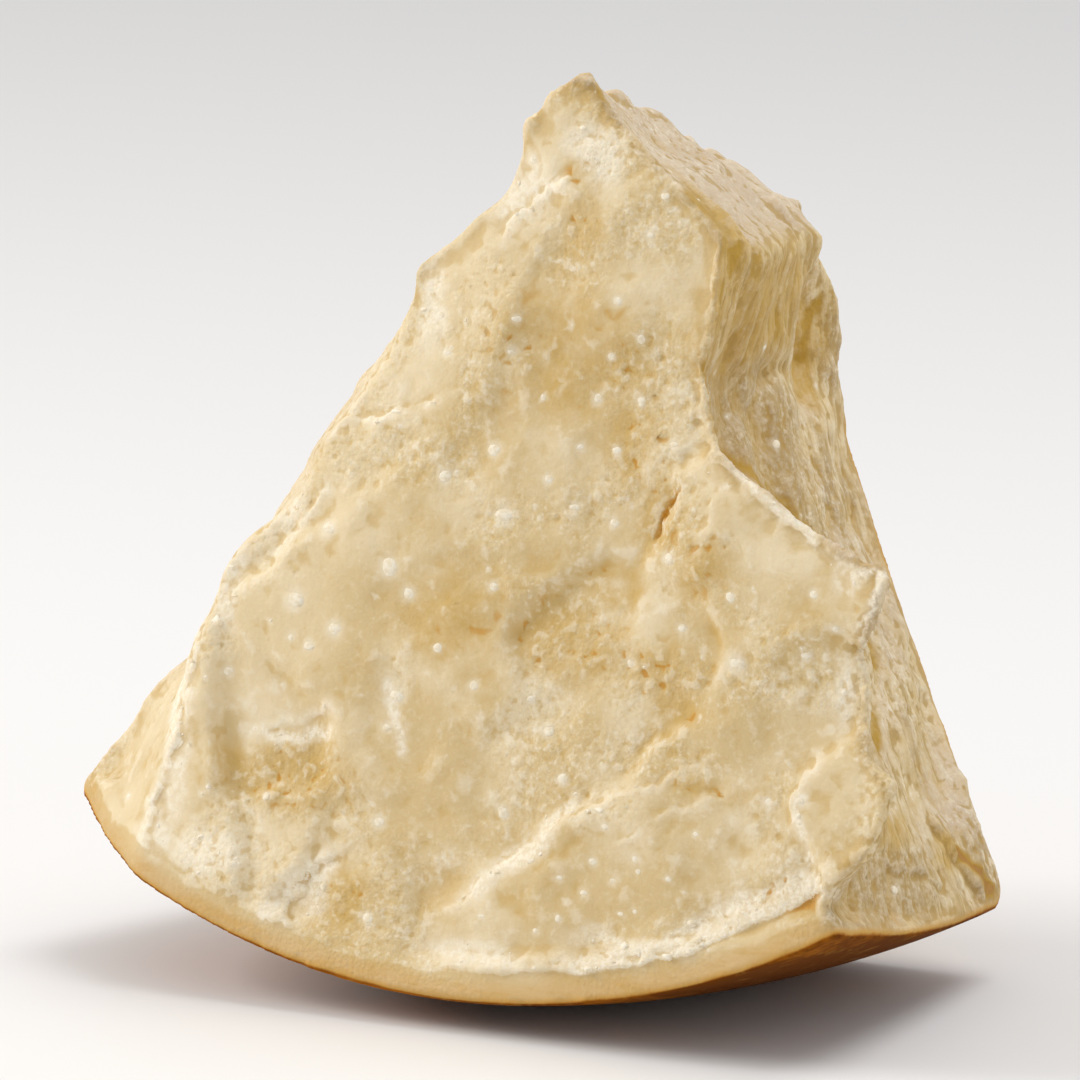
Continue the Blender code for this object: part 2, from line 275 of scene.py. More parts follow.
def finish_with(piece, kind, **settings):
    """Add a modifier to a piece, set it and apply it."""
    select_only(piece)
    bpy.ops.object.modifier_add(type=kind)
    modifier = piece.modifiers[-1]
    for name, value in settings.items():
        setattr(modifier, name, value)
    bpy.ops.object.modifier_apply(modifier=modifier.name)


def crease_sharp_edges(piece):
    """Keep sharp corners: fully where they meet the rind, nearly so where paste broke."""
    work = bmesh.new()
    work.from_mesh(piece.data)
    crease = work.edges.layers.float.new("crease_edge")
    near = under_skin(to_drum([vertex.co[:] for vertex in work.verts])) < NEAR_SKIN
    work.verts.index_update()
    for edge in work.edges:
        if len(edge.link_faces) != 2:
            continue
        bend = (edge.calc_face_angle() - BLUNT_ANGLE) / (SHARP_ANGLE - BLUNT_ANGLE)
        at_skin = all(near[vertex.index] for vertex in edge.verts)
        edge[crease] = min(max(bend, 0.0), 1.0) * (1.0 if at_skin else BREAK_CREASE)
    work.to_mesh(piece.data)
    work.free()


wedge = bpy.data.objects.new("wedge_of_cheese", SOLID.data.copy())
bpy.context.scene.collection.objects.link(wedge)
select_only(wedge)
bpy.ops.object.mode_set(mode="EDIT")
bpy.ops.mesh.select_all(action="SELECT")
bpy.ops.mesh.remove_doubles(threshold=MERGE_DISTANCE)
bpy.ops.object.mode_set(mode="OBJECT")
crease_sharp_edges(wedge)
finish_with(wedge, "SUBSURF", levels=2, render_levels=2)
finish_with(wedge, "REMESH", mode="VOXEL", voxel_size=NET_SIZE)
finish_with(wedge, "SMOOTH", factor=0.5, iterations=2)
print("the net has", len(wedge.data.vertices), "points")

# %% [markdown]
# ## Crisper edges
#
# Broken cheese has crisp edges, and all that rounding has made them doughy. So the net is compared
# with a smoothed copy of itself. Where a point stands out from the copy, on an edge, it is pushed
# further out, and where it lies deep, in a corner, further in. The rind is left alone.

# %% Sharpen the edges
SHARPEN_ROUNDS = 14
SHARPEN, SHARPEN_LIMIT = 0.9, 0.8 * MM
RIND_MARGIN, RIND_BLEND = 0.15, 0.25


def edge_pairs(piece):
    """The two ends of every edge of a mesh, as numbers of points."""
    pairs = np.empty(2 * len(piece.data.edges), np.int32)
    piece.data.edges.foreach_get("vertices", pairs)
    return pairs.reshape(-1, 2)


def smoothed(points, pairs, rounds):
    """Points moved to the middle of their neighbours again and again."""
    count = np.bincount(pairs.ravel(), minlength=len(points))
    for _ in range(rounds):
        total = np.empty_like(points)
        for axis in range(3):
            values = points[:, axis]
            total[:, axis] = (np.bincount(pairs[:, 0], values[pairs[:, 1]], len(points))
                              + np.bincount(pairs[:, 1], values[pairs[:, 0]], len(points)))
        points = total / count[:, None]
    return points


points = mesh_points(wedge)
normals = mesh_normals(wedge)
proud = ((points - smoothed(points, edge_pairs(wedge), SHARPEN_ROUNDS)) * normals).sum(axis=1)
inside = under_skin(to_drum(points))
proud *= np.clip((inside - RIND_MARGIN) / RIND_BLEND, 0.0, 1.0)
push = np.clip(SHARPEN * proud, -SHARPEN_LIMIT, SHARPEN_LIMIT)
set_points(wedge, above_floor(points + normals * push[:, None]))
print("edges moved by up to", round(float(push.max()) / MM, 2), "mm")

# %% [markdown]
# ## Patterns that a break is made of
#
# Two patterns, mixed at several sizes, make a believable break. Drift is smooth noise. Shards are
# flat, slightly tilted fields with a joint between neighbours, the way a hard paste splits. Both are
# worked out for every point of the net at once. They come from a scramble of whole numbers, so each
# run gives the same cheese.

# %% Drift and shards
SCRAMBLE = np.array((374761393, 668265263, 2147483629), np.uint32)


def scrambled(cells, salt):
    """A steady number from 0 to 1 for each whole-numbered cell."""
    mixed = (cells.astype(np.int64) & 0xFFFFFFFF).astype(np.uint32) * SCRAMBLE
    value = mixed[..., 0] ^ mixed[..., 1] ^ mixed[..., 2] ^ np.uint32(salt * 40503 + 977)
    value = (value ^ (value >> np.uint32(15))) * np.uint32(2246822519)
    value = (value ^ (value >> np.uint32(13))) * np.uint32(3266489917)
    return (value ^ (value >> np.uint32(16))) / 4294967295.0


def drift(places, size, salt):
    """Smooth noise from -1 to 1 that changes over about one size."""
    spots = places / size
    low = np.floor(spots)
    share = spots - low
    share = share ** 3 * (share * (share * 6.0 - 15.0) + 10.0)
    total = np.zeros(len(places))
    for corner in itertools.product((0, 1), repeat=3):
        weight = np.prod(np.where(corner, share, 1.0 - share), axis=1)
        total += weight * scrambled(low + corner, salt)
    return 2.0 * total - 1.0


def rough(places, size, salt, layers=3):
    """Drift at several sizes, each half as large and half as strong as the last."""
    total = np.zeros(len(places))
    for layer in range(layers):
        total += drift(places, size / 2 ** layer, salt + layer) / 2 ** layer
    return total


def nearby_cells(places, size, salt):
    """The cells round each place, one at a time, with the way from a cell's own middle to the place."""
    spots = places / size
    low = np.floor(spots)
    for corner in itertools.product((-1, 0, 1), repeat=3):
        cell = low + corner
        middle = [scrambled(cell, salt + side) for side in range(3)]
        yield cell, spots - cell - np.stack(middle, axis=1)


def shards(places, size, salt, tilt=1.0, blend=14.0):
    """Flat tilted fields about as wide as size, from about -1 to 1."""
    total = np.zeros(len(places))
    weights = np.zeros(len(places))
    for cell, away in nearby_cells(places, size, salt):
        weight = np.exp(-blend * np.linalg.norm(away, axis=1))
        slope = sum((scrambled(cell, salt + 5 + side) - 0.5) * away[:, side] for side in range(3))
        total += weight * (2.0 * scrambled(cell, salt + 9) - 1.0 + 2.0 * tilt * slope)
        weights += weight
    return total / np.maximum(weights, 1e-30)


def fade(values, start, end):
    """0 before start and 1 past end, with a smooth change between them."""
    share = np.clip((values - start) / (end - start), 0.0, 1.0)
    return share * share * (3.0 - 2.0 * share)


sample = drift(to_drum(mesh_points(wedge)), 1.0, 1)
print("drift runs from", round(float(sample.min()), 2), "to", round(float(sample.max()), 2))

# %% [markdown]
# ## The rind's true curve
#
# The rind was pressed smooth by the mould, so it gets no flakes. Its points are moved onto the
# drum's own surface, which a net of small squares only follows roughly, and given a faint waviness.

# %% Press the rind smooth
SKIN_DEPTH = 0.09
RIND_WAVE = 0.012


def press_rind(points, normals):
    """Move what lies in the skin, and faces outward, onto the drum's surface."""
    places = to_drum(points)
    facing = normals @ LEAN_TURN.T
    radius = np.hypot(places[:, 0], places[:, 2])
    outward = places * (1.0, 0.0, 1.0) / radius[:, None]
    barrel = rind_radius(places[:, 1]) - radius
    flat = HALF_HEIGHT - places[:, 1]
    on_barrel = (barrel < SKIN_DEPTH) & (barrel < flat) & ((facing * outward).sum(axis=1) > 0.9)
    on_flat = (flat < SKIN_DEPTH) & (facing[:, 1] > 0.9)
    wave = RIND_WAVE * drift(places, 2.5, 71)
    places[on_barrel] += outward[on_barrel] * (barrel - wave)[on_barrel, None]
    places[on_flat, 1] = HALF_HEIGHT - wave[on_flat]
    return above_floor(to_frame(places)), int(on_barrel.sum() + on_flat.sum())


points, count = press_rind(mesh_points(wedge), mesh_normals(wedge))
set_points(wedge, points)
print(count, "points lie on the rind")

# %% [markdown]
# ## Ledges where flakes broke off
#
# A hard cheese is split open rather than sliced, so the break runs in ledges. The longest ones are
# listed, each as a line of points. The side named as proud stands out by a height and falls back over
# a reach, as a real flake does: steep at its edge, nothing further on. The last number says how far its
# crest crumbles. Lines on the wide break are given as side and height, and those on the torn right
# side as depth and height.

# %% Where the ledges run
PROUD_LEFT, PROUD_RIGHT = 1.0, -1.0
LEDGES = (  # line, proud side, height, reach, how crumbly the crest is
    (((-0.6, -19.9), (0.0, -19.4), (1.0, -18.6), (1.9, -17.8), (3.6, -16.6), (5.9, -15.8), (7.6, -14.6)),
     PROUD_RIGHT, 0.065, 2.0, 0.5),
    (((-6.2, -8.9), (-5.2, -8.1), (-4.5, -7.6), (-3.0, -7.5), (-2.0, -7.1), (-1.2, -6.9)),
     PROUD_RIGHT, 0.09, 1.6, 0.9),
    (((-6.6, -12.2), (-6.0, -10.9), (-5.2, -9.9), (-4.9, -9.2)), PROUD_RIGHT, 0.05, 1.2, 0.7),
    (((-9.1, -19.8), (-8.8, -18.0), (-8.5, -16.3), (-8.3, -14.7), (-7.9, -12.8)),
     PROUD_LEFT, 0.06, 0.5, 1.0),
    (((-7.1, -16.2), (-6.2, -15.8), (-5.2, -15.8), (-4.3, -15.3), (-3.6, -15.6)),
     PROUD_LEFT, 0.03, 1.4, 0.7),
    (((-4.4, -20.9), (-4.7, -20.2), (-4.3, -19.3), (-3.6, -18.6), (-2.9, -18.0)),
     PROUD_LEFT, 0.12, 0.8, 1.0),
    (((4.1, -8.7), (4.6, -8.3), (5.1, -8.0), (5.7, -7.5)), PROUD_LEFT, 0.10, 0.8, 1.0),
    (((6.3, -7.9), (6.2, -8.7), (6.1, -9.6), (5.7, -10.4), (5.0, -10.9)), PROUD_LEFT, 0.06, 2.0, 0.3),
    (((10.4, -14.5), (9.8, -14.9), (9.4, -15.5), (9.1, -16.2), (9.1, -16.8), (9.3, -17.6)),
     PROUD_LEFT, 0.06, 2.0, 0.6),
    (((1.4, -1.1), (0.7, -1.5), (-0.2, -2.2), (-0.7, -3.0)), PROUD_LEFT, 0.10, 0.9, 1.0),
    (((0.9, -13.0), (1.0, -12.3), (1.5, -11.7), (2.4, -11.3), (3.4, -11.4)), PROUD_LEFT, 0.08, 1.0, 0.2),
    (((3.6, -12.3), (4.4, -13.2), (5.6, -13.6), (6.8, -13.4), (7.9, -12.8)), PROUD_LEFT, 0.06, 1.4, 0.2),
    (((4.0, -17.9), (5.2, -17.0), (6.4, -16.5), (7.6, -15.9)), PROUD_RIGHT, 0.05, 1.0, 0.5),
)
RIGHT_LEDGES = (
    (((2.6, -16.2), (3.6, -17.0), (4.9, -17.6), (6.4, -17.9), (7.8, -17.7), (8.8, -17.2)),
     PROUD_LEFT, 0.16, 1.4, 0.4),
    (((8.5, -15.9), (8.7, -16.7), (9.5, -17.5), (10.6, -18.4)), PROUD_LEFT, 0.24, 1.2, 0.3),
    (((2.0, -11.6), (2.6, -13.0), (2.8, -14.6), (2.6, -16.0)), PROUD_RIGHT, 0.14, 1.6, 0.3),
    (((7.6, -2.6), (8.3, -3.8), (8.9, -4.9), (9.2, -6.0)), PROUD_RIGHT, 0.14, 1.2, 0.2),
)
print(len(LEDGES), "ledges on the wide break and", len(RIGHT_LEDGES), "on the right side")

# %% [markdown]
# A drawn line would look ruled, so side and height are first bent about by drift at three sizes. How
# far each place is from the line then gives the ledge's profile.

# %% Turn lines into ledges
LEDGE_RISER = 0.16
CREST_WIDTH = 0.16
LEDGE_WANDER = ((1.3, 0.22), (0.42, 0.15), (0.17, 0.07))


def along_line(side, up, line):
    """How far a point is to the left of a line of points, and its share of the way along it."""
    nearest = np.full(len(side), np.inf)
    offset = np.zeros(len(side))
    share = np.zeros(len(side))
    stretches = len(line) - 1
    for number, (start, end) in enumerate(zip(line, line[1:])):
        run = np.subtract(end, start)
        length = np.hypot(*run)
        ahead_by = ((side - start[0]) * run[0] + (up - start[1]) * run[1]) / length
        beside = ((up - start[1]) * run[0] - (side - start[0]) * run[1]) / length
        held = np.clip(ahead_by, 0.0, length)
        distance = np.hypot(beside, ahead_by - held)
        closer = distance < nearest
        nearest[closer] = distance[closer]
        offset[closer] = np.where(beside < 0.0, -distance, distance)[closer]
        share[closer] = ((number + held / length) / stretches)[closer]
    return offset, share


def wandered(places, waves, across_axis=0):
    """Side and height of places, bent about as ragged edges are."""
    side, up = places[:, across_axis].copy(), places[:, 2].copy()
    for number, (size, reach) in enumerate(waves):
        side += reach * drift(places, size, 21 + 2 * number)
        up += reach * drift(places, size, 22 + 2 * number)
    return side, up


def ledge_relief(places, ledges, across_axis=0):
    """How far in (cm) the ledges put a face, and where their crests crumble, 0 to 1."""
    side, up = wandered(places, LEDGE_WANDER, across_axis)
    uneven = 0.65 + 0.5 * rough(places, 0.9, 27)
    depth = np.zeros(len(places))
    crest = np.zeros(len(places))
    for line, proud, height, reach, crumbly in ledges:
        offset, share = along_line(side, up, line)
        offset *= proud
        edge = fade(offset, -LEDGE_RISER / 2, LEDGE_RISER / 2)
        ends = fade(share, 0.0, 0.25) * (1.0 - fade(share, 0.75, 1.0))
        back = np.exp(-(np.maximum(offset, 0.0) / reach) ** 2)
        foot = (1.0 - edge) * np.exp(-np.maximum(-offset, 0.0) / (0.6 * reach))
        depth += height * ends * np.clip(uneven, 0.15, 1.3) * (0.35 * foot - edge * back)
        band = np.exp(-((offset - 0.5 * CREST_WIDTH) / CREST_WIDTH) ** 2)
        crest = np.maximum(crest, crumbly * band * ends * fade(uneven, 0.25, 0.75))
    return depth, crest


places = to_drum(mesh_points(wedge))
print("ledges stand out by up to", round(float(-ledge_relief(places, LEDGES)[0].min()) * 10, 1), "mm")

# %% [markdown]
# ## Rubbed edges
#
# The long left edge of the wide break has been handled: it is chalky and rounded, not crisp, and so
# is the edge of the clean facet beside it. Points near those lines are drawn towards a smoothed copy
# of the mesh. Each line has the width of paste that it rounds, how deep behind the break it goes and
# how much it rounds.

# %% Round the rubbed edges
RUBBED_EDGES = (  # line, width, depth, how much
    (((-0.3, -0.9), (-0.7, -1.5), (-1.6, -2.5), (-2.6, -3.5), (-3.2, -4.5), (-3.7, -6.0), (-5.5, -9.0),
      (-7.9, -12.0), (-8.7, -14.5)), 1.0, 1.6, 0.75),
    (((-8.6, -13.6), (-9.8, -14.6), (-10.7, -15.5), (-11.7, -16.9), (-12.1, -17.6)), 0.9, 4.0, 0.75),
    (((-5.9, -16.0), (-5.1, -15.5), (-4.1, -15.1), (-3.9, -15.9), (-4.1, -16.9), (-4.8, -17.3)),
     0.9, 1.0, 0.85),
    (((4.8, -2.7), (4.8, -4.4), (4.7, -5.8), (5.0, -7.0), (5.5, -7.8)), 0.5, 0.7, 0.40),
    (((5.5, -7.8), (6.8, -8.7), (8.8, -9.7), (10.3, -10.0)), 0.5, 0.7, 0.30),
    (((-0.6, -19.9), (0.0, -19.4), (1.0, -18.6), (1.9, -17.8), (3.6, -16.6), (5.2, -16.1)), 0.8, 0.8, 0.70),
)
ROUNDING_ROUNDS = 40

points = mesh_points(wedge)
places = to_drum(points)
share = np.zeros(len(points))
for line, reach, deepest, rubbed in RUBBED_EDGES:
    beside, _ = along_line(places[:, 0], places[:, 2], line)
    near = (1.0 - fade(np.abs(beside), 0.3 * reach, reach)) * (1.0 - fade(places[:, 1] / deepest, 0.7, 1.2))
    share = np.maximum(share, rubbed * near * fade(under_skin(places), 0.15, 0.6))
softer = smoothed(points, edge_pairs(wedge), ROUNDING_ROUNDS)
set_points(wedge, points + (softer - points) * share[:, None])
print("rounded", int((share > 0.05).sum()), "points along rubbed edges")

# %% [markdown]
# ## Waxy patches and grainy ones
#
# Where a flake split off cleanly the paste is smooth and waxy, and where it was pulled apart it is
# grainy, with curd grains two to three millimetres across. The big clean patches are named here by
# their middle and size. Between them, drift decides.

# %% Where the break is clean and where it is grainy
CLEAN_PATCHES = (
    (-4.6, -12.9, 2.6, 2.2), (-0.6, -13.4, 1.6, 2.4), (1.2, -3.6, 1.3, 2.2), (1.3, -7.6, 1.9, 1.6),
    (4.7, -3.9, 0.8, 1.5), (8.6, -10.4, 2.2, 1.2), (6.4, -12.4, 1.2, 1.0), (7.7, -14.9, 1.0, 1.1),
    (-1.0, -16.8, 2.0, 1.8), (3.2, -18.6, 3.2, 1.3), (-10.3, -17.2, 1.2, 2.4), (6.8, -17.2, 1.8, 1.0),
    (1.6, -10.6, 1.2, 0.9), (10.0, -15.7, 1.1, 1.7), (10.2, -10.7, 0.7, 0.6),
)
GRAINY_SPOTS = (
    (1.5, -2.9, 1.1, 1.2), (3.6, -2.2, 1.4, 0.9), (4.3, -6.7, 1.2, 2.0), (-3.6, -8.6, 2.2, 0.8),
    (2.6, -12.5, 1.4, 0.9), (4.9, -13.4, 1.6, 0.8), (-5.2, -17.0, 1.7, 0.9), (-5.8, -19.4, 1.8, 1.0),
    (5.2, -9.6, 0.9, 1.4), (4.6, -15.4, 2.6, 0.6), (-6.4, -10.4, 0.8, 1.6),
)
PATCH_EDGE = 0.45


def in_spots(places, spots, across_axis=0):
    """1 well inside any of the spots, 0 outside them all, with a ragged border."""
    side, up = wandered(places, LEDGE_WANDER, across_axis)
    most = np.zeros(len(places))
    for middle, height, wide, tall in spots:
        reach = np.hypot((side - middle) / wide, (up - height) / tall)
        most = np.maximum(most, 1.0 - fade(reach, 1.0 - PATCH_EDGE, 1.0 + PATCH_EDGE))
    return most


def graininess(places, front):
    """0 on waxy paste and 1 on grainy paste."""
    patchy = fade(rough(places, 2.2, 31), -0.35, 0.55)
    clean = in_spots(places, CLEAN_PATCHES)
    grainy = in_spots(places, GRAINY_SPOTS)
    on_front = np.maximum(patchy * (1.0 - clean), grainy)
    return front * on_front + (1.0 - front) * (0.35 + 0.65 * patchy)


print("clean patches take up", round(float(in_spots(places, CLEAN_PATCHES).mean()) * 100), "% of the net")

# %% [markdown]
# ## Grains and pits
#
# Grains are round-backed lumps packed side by side, the opposite of a pit: the highest point is in
# the middle of its cell. Pits are rare cells with a small round hollow.

# %% Grains and pits
def grains(places, size, salt):
    """Round lumps about as wide as size: 1 on their backs and 0 in the gaps between them."""
    nearest = np.full(len(places), 9.0)
    for _, away in nearby_cells(places, size, salt):
        nearest = np.minimum(nearest, (away ** 2).sum(axis=1))
    return 1.0 - np.clip(nearest, 0.0, 1.0)


def pits(places, size, salt, share):
    """Small round hollows in the given share of cells, 1 at their bottoms."""
    deepest = np.zeros(len(places))
    for cell, away in nearby_cells(places, size, salt):
        width = 0.15 + 0.3 * scrambled(cell, salt + 4)
        there = scrambled(cell, salt + 3) < share
        bowl = np.clip(1.0 - (away ** 2).sum(axis=1) / width ** 2, 0.0, 1.0)
        deepest = np.maximum(deepest, there * bowl)
    return deepest


sample = grains(places, 0.3, 61)
print("grains rise from", round(float(sample.min()), 2), "to", round(float(sample.max()), 2))

# %% [markdown]
# ## The crack and the seams
#
# One long crack runs down behind a nose of paste, and thin moist seams run where the torn right side
# meets the break and where its flakes part. Each gets a line of its own, like a ledge: the crack with
# half its width and its depth, a seam with half its width.

# %% Cracks and seams
CRACK = ((5.25, -8.45), (5.0, -8.8), (4.7, -9.3), (4.5, -9.8), (4.45, -10.2))
CRACK_HALF_WIDTH, CRACK_DEEP = 0.035, 0.10
SEAMS = (
    (((0.9, -2.5), (1.0, -2.9), (1.1, -3.3)), 0.26),
    (((0.35, -3.2), (0.4, -3.8), (0.45, -4.4)), 0.10),
    (((0.5, -4.9), (0.45, -5.8), (0.5, -6.8)), 0.25),
    (((2.1, -2.6), (2.2, -3.0), (2.3, -3.5)), 0.16),
    (((10.3, -3.2), (10.0, -4.0), (9.9, -4.7), (10.0, -5.5)), 0.15),
    (((5.9, -3.4), (6.0, -4.2), (6.1, -4.9)), 0.10),
    (((3.6, -4.3), (3.6, -5.0), (3.8, -5.6)), 0.10),
    (((0.3, -6.0), (0.9, -7.0), (2.2, -7.7), (3.3, -8.1), (4.5, -8.5), (5.4, -8.9), (6.6, -9.5),
      (8.2, -10.2)), 0.20),
    (((9.4, -12.0), (8.2, -12.8), (7.2, -13.4), (6.4, -14.2), (5.2, -15.4)), 0.20),
)


def crack_depth(places):
    """How deep (cm) the crack goes."""
    offset, share = along_line(*wandered(places, LEDGE_WANDER[2:]), CRACK)
    taper = fade(share, 0.0, 0.3) * (1.0 - fade(share, 0.7, 1.0))
    return CRACK_DEEP * taper * (1.0 - fade(np.abs(offset), 0.0, CRACK_HALF_WIDTH * 2))


def near_lines(places, lines, across_axis=1):
    """1 in the middle of any of the lines, 0 outside their widths, with ragged borders."""
    side, up = wandered(places, LEDGE_WANDER[1:], across_axis)
    most = np.zeros(len(places))
    for line, half_width in lines:
        offset, share = along_line(side, up, line)
        taper = fade(share, 0.0, 0.2) * (1.0 - fade(share, 0.8, 1.0))
        most = np.maximum(most, taper * (1.0 - fade(np.abs(offset), 0.5 * half_width, 2 * half_width)))
    return most


print("the crack is", round(float(crack_depth(places).max()) * 10, 1), "mm deep, beside", len(SEAMS), "seams")

# %% [markdown]
# ## Tearing the surface
#
# The tear differs from face to face. The rind was scored first, so a smooth rim about 7 mm high runs
# along the foot of the wide break, and above it lies a shelf of crumbs. The other faces have a narrow
# rim. Which face a point is on is read from the direction that the surface looks in.

# %% Which way a face looks, and how high its rim is
FRONT_RIM, SIDE_RIM = 0.72, 0.20
RIM_RISE, RIM_DROP, RIM_WAVER = 0.30, 0.45, 0.10


def looking(normals, axis, start, end):
    """1 on faces that look along an axis of the drum, 0 on the others. ~axis means backwards."""
    along = (normals @ LEAN_TURN.T)[:, axis if axis >= 0 else ~axis]
    return fade(along if axis >= 0 else -along, start, end)


def front_share(normals):
    return looking(normals, ~1, 0.45, 0.85)


def top_share(normals):
    return looking(normals, 2, 0.35, 0.65)


def right_share(normals):
    return looking(normals, 0, 0.3, 0.6)


def left_share(normals):
    return looking(normals, ~0, 0.3, 0.6)


def rim_height(places, front):
    """How far up (cm) the smooth rim reaches, more at the right end and less on the left facet."""
    widest = FRONT_RIM + RIM_RISE * fade(places[:, 0], 6.5, 9.5) - RIM_DROP * fade(-places[:, 0], 9.4, 10.2)
    waver = RIM_WAVER * rough(places, 1.3, 41) * (0.4 + 0.6 * front)
    return SIDE_RIM + (widest - SIDE_RIM) * front + waver


def shelf_share(places, front):
    """1 on the shelf of crumbs above the rim of the wide break, 0 elsewhere."""
    above = under_skin(places) - rim_height(places, front)
    return front * fade(above, 0.0, 0.12) * (1.0 - fade(above, 0.3, 0.8)) * fade(places[:, 0], -1.0, 2.0)


normals = mesh_normals(wedge)
print("the wide break has", round(float(front_share(normals).mean()) * 100), "% of the net and the top",
      round(float(top_share(normals).mean()) * 100), "%")

# %% [markdown]
# On the sides and the top, shards and streaks run the way the wedge was pulled apart: up and down on
# the sides, from front to back on top. They are the same patterns as before, with the places squeezed
# across the streaks. The wide break gets its ledges, wide shards and scales. Grain, pits and fine
# roughness come on top of all that. It is added up into one depth for each place. The heights have
# names of their own, in centimetres, so that each can be turned up and down by itself.

# %% Add up how far in each place goes
SIDE_STREAKS = np.array((0.25, 1.0, 0.18))
TOP_STREAKS = np.array((1.0, 0.18, 0.25))
FURROWS, STRIPS, SPLINTERS = 0.014, 0.034, 0.014
WIDE_SHARDS, NARROW_SHARDS, SCALES = 0.016, 0.012, 0.012
LARGE_GRAINS, SMALL_GRAINS, CRUMBLE, ROUGHNESS = 0.040, 0.032, 0.07, 0.016
PIT_DEPTH, PIT_SHARE, SEAM_DEPTH = 0.06, 0.13, 0.035
SHELF_HEIGHT, SHELF_LUMPS = 0.05, 0.08
RIM_WAVES, RIND_GRAIN = 0.02, 0.004


def streaky_depth(places, top):
    """Fine parallel furrows: up and down on the sides, from front to back on top."""
    lines = []
    for stretch in (SIDE_STREAKS, TOP_STREAKS):
        drawn = places * stretch
        strips = shards(drawn, 0.5, 65, tilt=1.4, blend=16.0)
        splinters = shards(drawn, 0.18, 70, tilt=1.4)
        lines.append(FURROWS * rough(drawn, 0.16, 64) + STRIPS * strips + SPLINTERS * splinters)
    return lines[0] + (lines[1] - lines[0]) * top


def tear_depth(places, normals):
    """How far in (cm) each place of the surface goes."""
    front, top = front_share(normals), top_share(normals)
    grainy = graininess(places, front)
    inside = under_skin(places)
    rim = rim_height(places, front)
    torn = fade(inside, rim, rim + 0.12)
    ledges, crest = ledge_relief(places, LEDGES)
    right_ledges, _ = ledge_relief(places, RIGHT_LEDGES, 1)
    wide = (WIDE_SHARDS * shards(places, 1.6, 51, tilt=1.5)
            + NARROW_SHARDS * shards(places, 0.62, 52, tilt=1.6))
    scales = SCALES * shards(places, 0.30, 54, tilt=1.6, blend=10.0)
    lumps = (LARGE_GRAINS * (0.8 - grains(places, 0.29, 61))
             + SMALL_GRAINS * (0.8 - grains(places, 0.17, 62)))
    crumble = CRUMBLE * (0.7 - grains(places, 0.24, 67))
    fine = ROUGHNESS * rough(places, 0.16, 63, layers=2)
    holes = PIT_DEPTH * pits(places, 0.42, 66, PIT_SHARE) * (0.2 + 0.8 * grainy) * (1.0 - 0.8 * top)
    on_front = ledges + wide + scales * (0.35 + 0.65 * grainy) + crest * crumble
    on_side = 1.3 * wide + streaky_depth(places, top)
    on_side *= (1.0 - 0.7 * left_share(normals)) * (1.0 - 0.7 * top)
    on_side += (right_ledges + SEAM_DEPTH * near_lines(places, SEAMS)) * right_share(normals)
    depth = front * on_front + (1.0 - front) * on_side
    depth += grainy * lumps + (0.3 + 0.7 * grainy) * fine + holes
    depth -= shelf_share(places, front) * (SHELF_HEIGHT + SHELF_LUMPS * grains(places, 0.34, 67))
    depth += RIM_WAVES * (1.0 - torn) * front * drift(places, 0.8, 68) * fade(inside, 0.1, 0.3)
    whole = (1.0 - torn) * RIND_GRAIN * drift(places, 0.3, 69)
    return torn * (depth + front * crack_depth(places)) + whole


# %% [markdown]
# Each point of the net now moves in by its depth, along the surface's own direction. In the rind and
# just above it the depth fades out. A point that would end up under the floor is lifted onto it.

# %% Tear the surface
points = mesh_points(wedge)
places = to_drum(points)
off_skin = fade(under_skin(places), 0.06, 0.14)
torn_points = off_skin > 0.0
depth = np.zeros(len(points))
depth[torn_points] = tear_depth(places[torn_points], normals[torn_points]) * off_skin[torn_points]
set_points(wedge, above_floor(points - normals * depth[:, None] * CM))
print("the surface moved between", round(float(depth.min()) * 10, 1), "and",
      round(float(depth.max()) * 10, 1), "mm inwards")

# %% [markdown]
# ## Thinning the net
#
# The net is far finer than it needs to be on the rind and on waxy patches. A decimate modifier takes
# faces away where they say least, so the crisp edges keep theirs, and the piece stays light.

# %% Thin the net
WEDGE_FACES = 192000

ratio = WEDGE_FACES / (2 * len(wedge.data.polygons))
finish_with(wedge, "DECIMATE", ratio=min(1.0, ratio), use_collapse_triangulate=True)
print("the wedge now has", len(wedge.data.polygons), "triangles")

# %% [markdown]
# ## What the paste remembers of the break
#
# Colour follows the break. Raised edges get chalk, partly dry paste and partly painted highlight, and
# hollows get ochre and brown, which is painted shade. So each point of the mesh is told how it lies:
# above or below its near surroundings (hollow) and its wider ones (basin). Both come from comparing the
# mesh with smoothed copies of itself, less what a plain round edge would give. Each point is also told
# which face it is on.

# %% Measure hollows, basins and faces
HOLLOW_ROUNDS, EDGE_ROUNDS, BASIN_ROUNDS = 6, 24, 90
HOLLOW_DEPTH, BASIN_DEPTH = 0.20 * MM, 1.6 * MM
EDGE_SHARE = 0.45

points = mesh_points(wedge)
normals = mesh_normals(wedge)
places = to_drum(points)
pairs = edge_pairs(wedge)
near = smoothed(points, pairs, HOLLOW_ROUNDS)
edge_wide = smoothed(near, pairs, EDGE_ROUNDS)
wide = smoothed(edge_wide, pairs, BASIN_ROUNDS)
rounded = ((edge_wide - near) * normals).sum(axis=1) * EDGE_SHARE
hollow = (((near - points) * normals).sum(axis=1) - rounded) / HOLLOW_DEPTH
basin = ((wide - points) * normals).sum(axis=1) / BASIN_DEPTH
facing = smoothed(normals, pairs, EDGE_ROUNDS)
front = front_share(facing)
right = (1.0 - front) * right_share(facing)
print("hollow spreads by", round(float(hollow.std()), 2), "and basin by", round(float(basin.std()), 2))
